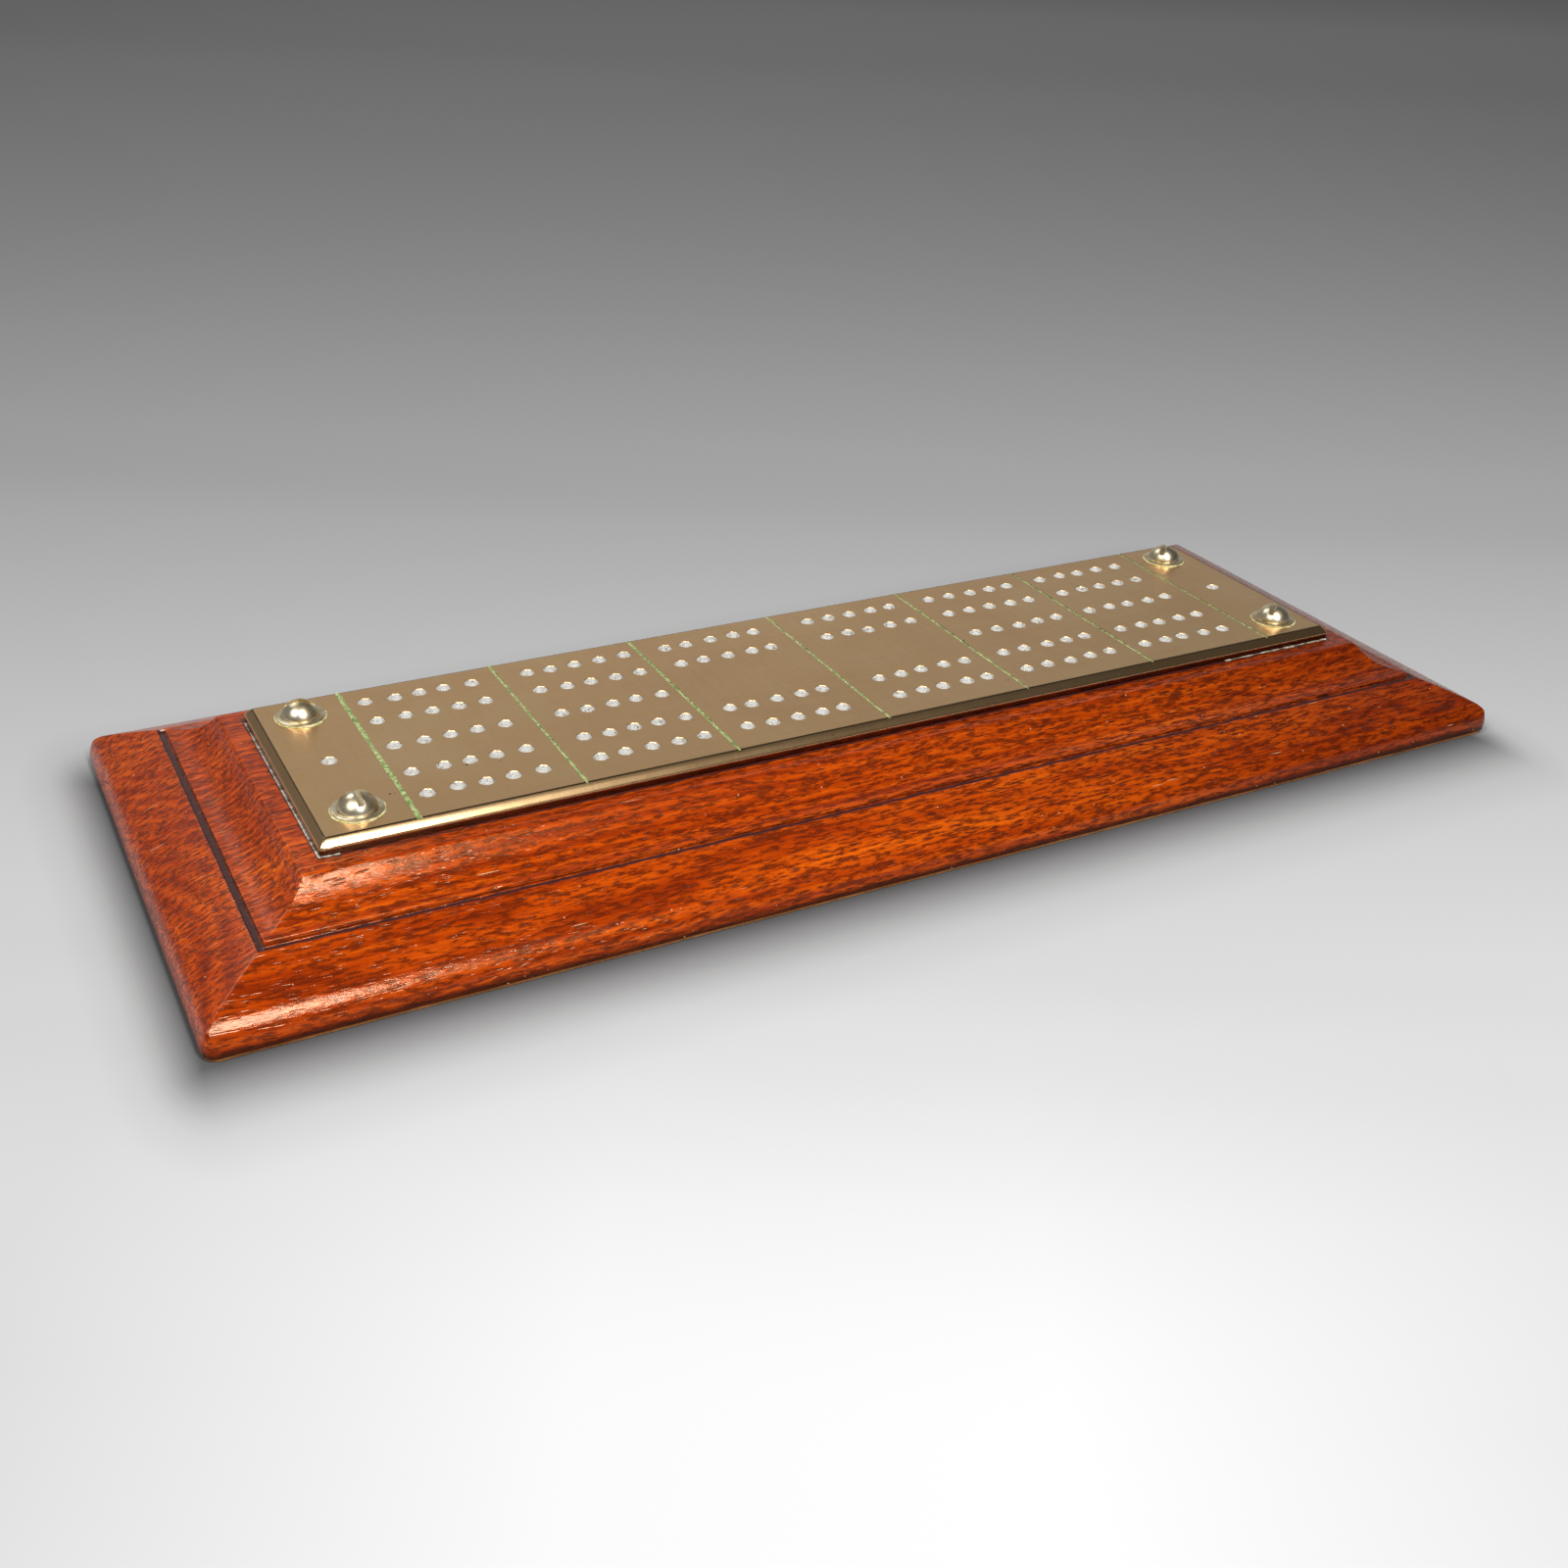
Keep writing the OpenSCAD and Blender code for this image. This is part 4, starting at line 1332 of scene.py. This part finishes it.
def tan_leather(name):
    """Thin tan leather, suede side down, with a fibrous cut edge."""
    material, hide, output = new_material(name, "Leather", "Pad surface")
    tree = material.node_tree
    nodes, links = tree.nodes, tree.links
    place = nodes.new("ShaderNodeTexCoord")
    place.label = "Place on the pad"
    patches = nodes.new("ShaderNodeTexNoise")
    patches.label = "Worn patches"
    set_values(patches, {"Scale": 45, "Detail": 5})
    nap = nodes.new("ShaderNodeTexNoise")
    nap.label = "Fibrous nap"
    set_values(nap, {"Scale": 1500, "Detail": 4, "Roughness": 0.75})
    pebbles = nodes.new("ShaderNodeTexVoronoi")
    pebbles.label = "Leather grain"
    set_values(pebbles, {"Scale": 900})
    tone = nodes.new("ShaderNodeValToRGB")
    tone.label = "Tan tones"
    stops = ((0.3, (0.20, 0.055, 0.012)), (0.5, (0.52, 0.20, 0.055)), (0.72, (0.72, 0.36, 0.13)))
    set_stops(tone, stops)
    tone_share = nodes.new("ShaderNodeMix")
    tone_share.label = "Patches and nap"
    set_values(tone_share, {"Factor": 0.5})
    relief = nodes.new("ShaderNodeMath")
    relief.label = "Grain and nap"
    relief.operation = "ADD"
    bump = nodes.new("ShaderNodeBump")
    bump.label = "Leather relief"
    set_values(bump, {"Strength": 0.6, "Distance": 0.12 * MM})
    set_values(hide, {"Roughness": 0.78, "Specular IOR Level": 0.25})
    links.new(place.outputs["Object"], patches.inputs["Vector"])
    links.new(place.outputs["Object"], nap.inputs["Vector"])
    links.new(place.outputs["Object"], pebbles.inputs["Vector"])
    links.new(patches.outputs["Fac"], tone_share.inputs["A"])
    links.new(nap.outputs["Fac"], tone_share.inputs["B"])
    links.new(tone_share.outputs["Result"], tone.inputs["Fac"])
    links.new(tone.outputs["Color"], hide.inputs["Base Color"])
    links.new(pebbles.outputs["Distance"], relief.inputs[0])
    links.new(nap.outputs["Fac"], relief.inputs[1])
    links.new(relief.outputs["Value"], bump.inputs["Height"])
    links.new(bump.outputs["Normal"], hide.inputs["Normal"])
    lay_out(tree, (("Patches", (place, patches, nap, pebbles)), ("Tones", (tone_share, tone)),
                   ("Surface", (relief, bump, hide, output))))
    return material


# The fourth argument is the height below which painted shade darkens each board
base_wood = mahogany("base_mahogany", (block_high.x, block_high.y), (0, QUIRK_W), 1.6 * MM, 0)
block_wood = mahogany("block_mahogany", (plate_high.x, plate_high.y), (0, 0.5 * MM), base_high.z - MM, 0.31)
plate_brass = brushed_brass("brushed_plate_brass", plate_high.x, plate_high.y, plate_high.z)
screw_brass = polished_brass("polished_screw_brass")
# Near-white lining of the peg holes: partly dried polish, partly a painted reflection of brass walls lit
# from the front
hole_polish_and_reflection = dried_deposit("dried_polish_and_painted_reflection_in_holes", (0.34, 0.31, 0.25), (0.95, 0.94, 0.89),
                            (0.99, 0.99, 0.97), 0.9 * MM, 0.5)
foot_polish = dried_deposit("dried_polish_at_foot", (0.05, 0.04, 0.03), (0.4, 0.33, 0.24),
                            (0.8, 0.76, 0.66), 1.2 * MM, 0.3)
verdigris = dried_deposit("verdigris", (0.07, 0.13, 0.04), (0.28, 0.40, 0.12), (0.66, 0.70, 0.34),
                          1.1 * MM, 0.4)
washer_verdigris = dried_deposit("washer_verdigris", (0.24, 0.2, 0.05), (0.6, 0.6, 0.24),
                                 (0.85, 0.86, 0.6), 1.0 * MM, 0.6)
# Near-black lining for the small pits in the plate
dark_pit_lining = dried_deposit("dark_pit_lining", (0.008, 0.006, 0.005), (0.02, 0.015, 0.01), (0.06, 0.045, 0.03),
                         0.4 * MM, 0.4)
pad_leather = tan_leather("tan_pad_leather")

# ------------------------------------------------------------------ wooden boards


def base_corner(inset):
    """Corner radii of the base board: round at its nose, and almost a mitre further in."""
    return (max(0.5 * MM, 3 * MM - 2 * inset),) * 4


def base_board_profile():
    """The base board's edge: nose, crowned slope and quirk, ending under the raised block."""
    foot = base_high.x - block_high.x
    quirk = foot - QUIRK_W
    nose_z = base_high.z - math.tan(BASE_SLOPE) * (quirk - NOSE_R) - NOSE_R / math.cos(BASE_SLOPE)
    lowest = -math.asin((nose_z - base_low.z) / NOSE_R)
    highest = math.pi / 2 - BASE_SLOPE
    profile = [(4 * MM, base_low.z, base_corner(4 * MM)), (1.2 * MM, base_low.z, base_corner(1.2 * MM))]
    nose_steps = 18
    for k in range(nose_steps + 1):
        turn = lowest + (highest - lowest) * k / nose_steps
        inset = NOSE_R * (1 - math.cos(turn))
        profile.append((inset, nose_z + NOSE_R * math.sin(turn), base_corner(inset)))
    meet = profile[-1][0]
    meet_z = profile[-1][1]
    for share in (0.12, 0.25, 0.4, 0.55, 0.7, 0.85, 0.95, 0.985):
        inset = meet + share * (quirk - meet)
        crown = BASE_CROWN * 4 * share * (1 - share)
        profile.append((inset, meet_z + share * (base_high.z - meet_z) + crown, base_corner(inset)))
    floor_z = base_high.z - QUIRK_DEPTH
    mitre = base_corner(foot)
    return profile + [
        (quirk + 0.05 * MM, base_high.z - 0.06 * MM, mitre),
        (quirk + 0.3 * MM, floor_z + 0.03 * MM, mitre),
        (quirk + 0.6 * MM, floor_z, mitre),
        (foot - 0.05 * MM, floor_z, mitre),
        (foot + 0.05 * MM, floor_z + 0.1 * MM, mitre),
        (foot + 0.2 * MM, base_high.z, mitre),
        (foot + 3 * MM, base_high.z, mitre),
    ]


def raised_block_profile():
    """The raised block's edge: upright foot, cove and soft top arris."""
    lip_z = block_low.z + FOOT_H
    rise = block_high.z - lip_z
    chord = math.hypot(COVE_RUN, rise)
    reach = math.sqrt(COVE_R ** 2 - (chord / 2) ** 2) / chord
    centre_inset = FOOT_FLAT + COVE_RUN / 2 - rise * reach
    centre_z = lip_z + rise / 2 + COVE_RUN * reach
    first = math.atan2(lip_z - centre_z, FOOT_FLAT - centre_inset)
    last = math.atan2(block_high.z - centre_z, FOOT_FLAT + COVE_RUN - centre_inset)
    mitre = (0.45 * MM,) * 4
    profile = [
        (3 * MM, block_low.z, mitre),
        (0.12 * MM, block_low.z, mitre),
        (0, block_low.z + 0.1 * MM, mitre),
        (0, lip_z - 0.3 * MM, mitre),
        (0.06 * MM, lip_z - 0.12 * MM, mitre),
        (0.2 * MM, lip_z - 0.02 * MM, mitre),
        (0.45 * MM, lip_z, mitre),
    ]
    cove_steps = 16
    for k in range(cove_steps + 1):
        turn = first + (last - first) * (0.01 + 0.94 * k / cove_steps)
        profile.append((centre_inset + COVE_R * math.cos(turn), centre_z + COVE_R * math.sin(turn), mitre))
    arris = FOOT_FLAT + COVE_RUN
    return profile + [
        (arris + 0.08 * MM, block_high.z - 0.22 * MM, mitre),
        (arris + 0.3 * MM, block_high.z - 0.06 * MM, mitre),
        (arris + 0.7 * MM, block_high.z, mitre),
        (arris + 3 * MM, block_high.z, mitre),
        (arris + 5.5 * MM, block_high.z, mitre),
    ]


def through_bit(radius, low_z, high_z):
    """A bit that goes right through, with a millimetre to spare above and below."""
    return [(0, low_z - MM), (radius, low_z - MM), (radius, high_z + MM), (0, high_z + MM)]


def blind_bit(radius, floor_z, high_z):
    """A bit with a drill's pointed end."""
    return [(0, floor_z - 0.3 * radius), (radius, floor_z), (radius, high_z + MM), (0, high_z + MM)]


BOARD_HOLE_STEPS = 20      # sides of a hole drilled in wood


def make_wood():
    base = board("base_board_wood", base_high.x, base_high.y, base_board_profile())
    sink(base, 0.12 * MM, 22 * MM, 3.1, base_low.z + 0.3 * MM)
    for place, radius, depth in BASE_KNOCKS:
        dent(base, place, radius * MM, depth * MM)
    pilot_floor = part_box("screw_front_left")[0].z + 2.5 * MM
    pilot_bit = blind_bit(SCREW_THREAD_R + 0.1 * MM, pilot_floor, base_high.z)
    drill(base, screw_places, pilot_bit, base_wood, steps=BOARD_HOLE_STEPS)
    smooth(base, 50)
    keep(base, "mahogany", "base_board")
    block = board("raised_block_wood", block_high.x, block_high.y, raised_block_profile())
    sink(block, 0.1 * MM, 18 * MM, 8.4, block_low.z + 0.2 * MM)
    for place, radius, depth in BLOCK_KNOCKS:
        dent(block, place, radius * MM, depth * MM)
    peg_bit = blind_bit(PEG_R, block_high.z - PEG_DEPTH, block_high.z)
    drill(block, peg_places, peg_bit, block_wood, steps=BOARD_HOLE_STEPS)
    screw_bit = through_bit(SCREW_SHANK_R + 0.1 * MM, block_low.z, block_high.z)
    drill(block, screw_places, screw_bit, block_wood, steps=BOARD_HOLE_STEPS)
    smooth(block, 50)
    keep(block, "mahogany", "raised_block")


# ------------------------------------------------------------------ brass plate


def plate_corner(inset):
    """Corner radii of the plate. Its back right corner is worn round."""
    crisp = max(0.3 * MM, 1 * MM - 0.4 * inset)
    worn = WORN_CORNER_R - inset
    return (crisp, worn, crisp, crisp)


def plate_profile():
    top, low = plate_high.z, plate_low.z
    crown = 0.12 * MM      # how far the bevel swells out from flat
    profile = [(3 * MM, low), (0.15 * MM, low), (0, low + 0.15 * MM), (0, top - PLATE_BEVEL - 0.12 * MM)]
    bevel_steps = 8
    for k in range(bevel_steps + 1):
        share = 0.04 + 0.92 * k / bevel_steps
        swell = crown * math.sin(math.pi * share)
        profile.append((PLATE_BEVEL * share - 0.7 * swell, top - PLATE_BEVEL * (1 - share) + 0.7 * swell))
    profile += [(PLATE_BEVEL + 0.1 * MM, top - 0.01 * MM), (PLATE_BEVEL + 0.3 * MM, top),
                (PLATE_BEVEL + 0.7 * MM, top), (PLATE_BEVEL + 1.1 * MM, top)]
    return [(max(inset, 0), min(z, top), plate_corner(inset)) for inset, z in profile]


def hole_faces(piece, centres, reach, z_share):
    """Faces of a drilled piece on the upright walls of its holes."""
    tree = kdtree.KDTree(len(centres))
    for i, centre in enumerate(centres):
        tree.insert((centre.x, centre.y, 0), i)
    tree.balance()
    walls = []
    for face in piece.data.polygons:
        middle = Vector((face.center.x, face.center.y, 0))
        if abs(face.normal.z) < z_share and tree.find(middle)[2] < reach:
            walls.append(face)
    return walls


def give_faces(piece, faces, material):
    piece.data.materials.append(material)
    for face in faces:
        face.material_index = len(piece.data.materials) - 1


def make_plate():
    plate = board("plate_metal", plate_high.x, plate_high.y, plate_profile())
    rim = 0.1 * MM
    peg_bit = [(0, plate_low.z - MM), (PEG_R, plate_low.z - MM), (PEG_R, plate_high.z - rim),
               (PEG_R + rim, plate_high.z), (PEG_R + 0.3 * MM, plate_high.z + MM), (0, plate_high.z + MM)]
    drill(plate, peg_places, peg_bit, plate_brass, variation=0.05, seed=4)
    screw_bit = through_bit(SCREW_SHANK_R + 0.3 * MM, plate_low.z, plate_high.z)
    drill(plate, screw_places, screw_bit, plate_brass)
    top = plate_high.z
    pit_bit = [(0, top - 0.25 * MM), (0.22 * MM, top - 0.18 * MM), (0.36 * MM, top), (0.4 * MM, top + MM),
               (0, top + MM)]
    pits = [Vector((x * MM, y * MM, 0)) for x, y in PLATE_PITS]
    drill(plate, pits, pit_bit, plate_brass, variation=0.6, seed=9, steps=10)
    graver = slab("graver", (0.36 * MM, plate_high.y + MM, LINE_DEPTH), plate_high.z)
    lines = [Vector((x, 0, 0)) for x in line_places]
    cut_with(plate, graver, lines, plate_brass, variation=0.25, seed=2)
    mend(plate)
    # The peg holes' walls get the near-white lining, partly painted reflection
    give_faces(plate, hole_faces(plate, peg_places, PEG_R + 0.02 * MM, 0.5), hole_polish_and_reflection)
    give_faces(plate, hole_faces(plate, pits, 0.3 * MM, 0.97), dark_pit_lining)
    smooth(plate, 35)
    keep(plate, "plate_brass", "brass_plate")


# ------------------------------------------------------------------ dried polish and verdigris


def residue(name, points, closed, material, slot, **sizes):
    """A bead of residue along a path. The sizes are the bead tree's inputs, with _ for each space."""
    edges = [(i, i + 1) for i in range(len(points) - 1)]
    if closed:
        edges.append((len(points) - 1, 0))
    mesh = bpy.data.meshes.new(name)
    mesh.from_pydata([tuple(point) for point in points], edges, [])
    bead = add_object(name, mesh)
    modifier = bead.modifiers.new("bead", "NODES")
    modifier.node_group = RESIDUE
    values = {"Width": 0.6 * MM, "Flatness": 0.3, "Thinnest": 0.4, "Lump size": 3 * MM, "Wander": 0.3 * MM,
              "Seed": 1.0, "Material": material}
    values.update({key.replace("_", " ").capitalize(): value for key, value in sizes.items()})
    set_inputs(modifier, values)
    plain(bead)
    bead.data.shade_smooth()
    keep(bead, slot)


FRONT_POLISH_START = 0.095      # x where the dried polish at the plate's front foot begins
WASHER_POINTS = 40


def make_residue():
    reach = plate_high.y - PLATE_BEVEL + 0.2 * MM
    for i, (x, width) in enumerate(zip(line_places, LINE_BEAD_WIDTHS)):
        z = plate_high.z - 0.06 * MM
        residue(f"ruled_line_verdigris_{i + 1}", [(x, -reach, z), (x, reach, z)], False, verdigris,
                "plate_brass", width=width * MM, flatness=0.28, thinnest=0.55, lump_size=2.2 * MM,
                wander=0.35 * MM, seed=3.7 * i)
    for i, corner in enumerate(SLOT_TURNS):
        low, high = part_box(f"washer_{corner}")
        centre = (low + high) / 2
        radius = (high.x - low.x) / 2 + 0.08 * MM
        turns = [math.tau * k / WASHER_POINTS for k in range(WASHER_POINTS)]
        z = plate_high.z + 0.05 * MM
        points = [(centre.x + radius * math.cos(t), centre.y + radius * math.sin(t), z) for t in turns]
        residue(f"washer_verdigris_{corner}", points, True, washer_verdigris, "plate_brass",
                width=0.75 * MM, flatness=0.5, thinnest=0.35, lump_size=1.6 * MM, wander=0.25 * MM,
                seed=7.1 * i + 0.4)
    x, y = plate_high.x + 0.15 * MM, plate_high.y + 0.1 * MM
    z = block_high.z + 0.06 * MM
    left_path = [(-x, y - 2 * MM, z), (-x, -y, z), (-x + 4 * MM, -y, z)]
    residue("foot_polish_left", left_path, False, foot_polish, "mahogany", width=0.8 * MM, flatness=0.45,
            thinnest=0.25, lump_size=2.5 * MM, wander=0.3 * MM, seed=2.2)
    front_path = [(FRONT_POLISH_START, -y, z), (x - MM, -y, z)]
    residue("foot_polish_front", front_path, False, foot_polish, "mahogany", width=0.9 * MM, flatness=0.4,
            thinnest=0.15, lump_size=3.5 * MM, wander=0.4 * MM, seed=5.9)


# ------------------------------------------------------------------ screws and washers


def washer_outline(bore, radius, low, thick):
    """A plain washer with rounded edges, dished a little."""
    edge = 0.2 * MM
    dish = 0.12 * MM
    return [
        (bore, low + dish), (radius - edge, low), (radius - 0.06 * MM, low + 0.06 * MM),
        (radius, low + edge), (radius, low + thick - 1.8 * edge), (radius - 0.05 * MM, low + thick - edge),
        (radius - 0.5 * MM, low + thick - 0.08 * MM), (radius - 1.2 * MM, low + thick), (bore, low + thick),
    ]


def screw_outline(tip_z, base_z, head_r, dome_h):
    """A round-head wood screw, from its tip up to the top of its dome."""
    outline = [(0, tip_z)]
    row = 0.17 * MM
    shank_z = base_z - SCREW_SHANK_L
    rows = int((shank_z - tip_z) / row)
    for k in range(1, rows + 1):
        z = tip_z + k * (shank_z - tip_z) / rows
        outline.append((SCREW_THREAD_R * min(1, (z - tip_z) / SCREW_POINT_L), z))
    outline += [(SCREW_SHANK_R, shank_z + 0.3 * MM), (SCREW_SHANK_R, base_z), (head_r - 0.15 * MM, base_z)]
    sphere_r = (head_r ** 2 + dome_h ** 2) / (2 * dome_h)
    centre_z = base_z + dome_h - sphere_r
    rim = math.acos((base_z + 0.12 * MM - centre_z) / sphere_r)
    dome_steps = 15
    for k in range(dome_steps):
        turn = rim * (1 - k / dome_steps)
        outline.append((sphere_r * math.sin(turn), centre_z + sphere_r * math.cos(turn)))
    return outline + [(0, base_z + dome_h)]


def cut_thread(screw, tip_z, shank_z):
    """A wood screw's thread: narrow ridges with broad hollows between them."""
    for vertex in screw.data.vertices:
        x, y, z = vertex.co
        radius = math.hypot(x, y)
        if tip_z < z < shank_z and radius > 0:
            turn = math.atan2(y, x) / math.tau
            along = (z - tip_z) / SCREW_PITCH - turn
            ridge = max(0, 1 - abs((along % 1) - 0.5) / THREAD_RIDGE)
            fade = min(1, (z - tip_z) / SCREW_POINT_L, (shank_z - z) / MM)
            depth = THREAD_DEPTH * (1 - ridge) * fade
            vertex.co.x -= x / radius * depth
            vertex.co.y -= y / radius * depth


def make_screws():
    for corner, turn in SLOT_TURNS.items():
        low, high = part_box(f"washer_{corner}")
        centre = (low + high) / 2
        outline = washer_outline(SCREW_SHANK_R + 0.15 * MM, (high.x - low.x) / 2, low.z, high.z - low.z)
        washer = turned(f"washer_brass_{corner}", outline + outline[:1], 56)
        washer.data.transform(Matrix.Translation((centre.x, centre.y, 0)))
        washer.data.materials.append(screw_brass)
        smooth(washer, 40)
        keep(washer, "screw_brass", f"washer_{corner}")
        base_z = high.z
        low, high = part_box(f"screw_{corner}")
        head_r = (high.x - low.x) / 2
        screw = turned(f"screw_brass_{corner}", screw_outline(low.z, base_z, head_r, SCREW_DOME_H), 48)
        cut_thread(screw, low.z, base_z - SCREW_SHANK_L)
        driver = slab("driver", (6 * MM, SCREW_SLOT_W / 2, SCREW_SLOT_DEPTH), base_z + SCREW_DOME_H)
        cut_with(screw, driver, [Vector((0, 0, 0))], screw_brass, turns=(math.radians(turn),) * 2)
        screw.data.transform(Matrix.Translation((centre.x, centre.y, 0)))
        edge = screw.modifiers.new("worn slot edges", "BEVEL")
        edge.width = 0.09 * MM
        edge.segments = 2
        edge.limit_method = "ANGLE"
        edge.angle_limit = math.radians(42)
        plain(screw)
        smooth(screw, 40)
        keep(screw, "screw_brass", f"screw_{corner}")


# ------------------------------------------------------------------ leather pad


def make_pad():
    edge = 0.15 * MM
    corner = (2.4 * MM,) * 4
    outline = [(3 * MM, pad_low.z), (edge, pad_low.z), (0, pad_low.z + edge), (0, pad_low.z + 0.5 * MM),
               (0, pad_high.z - edge), (edge, pad_high.z), (3 * MM, pad_high.z)]
    profile = [(inset, z, corner) for inset, z in outline]
    pad = board("leather_pad", pad_high.x, pad_high.y, profile)
    for vertex in pad.data.vertices:
        fray = 0.5 + 0.5 * noise.noise(vertex.co * 900) + 0.5 * noise.noise(vertex.co * 160)
        inward = Vector((vertex.co.x / pad_high.x, vertex.co.y / pad_high.y, 0))
        if max(abs(inward.x), abs(inward.y)) > 0.97:
            vertex.co -= inward * 0.22 * MM * max(0, fray)
    pad.data.materials.append(pad_leather)
    smooth(pad, 40)
    keep(pad, "pad_leather", "base_pad")


make_wood()
make_plate()
make_residue()
make_screws()
make_pad()
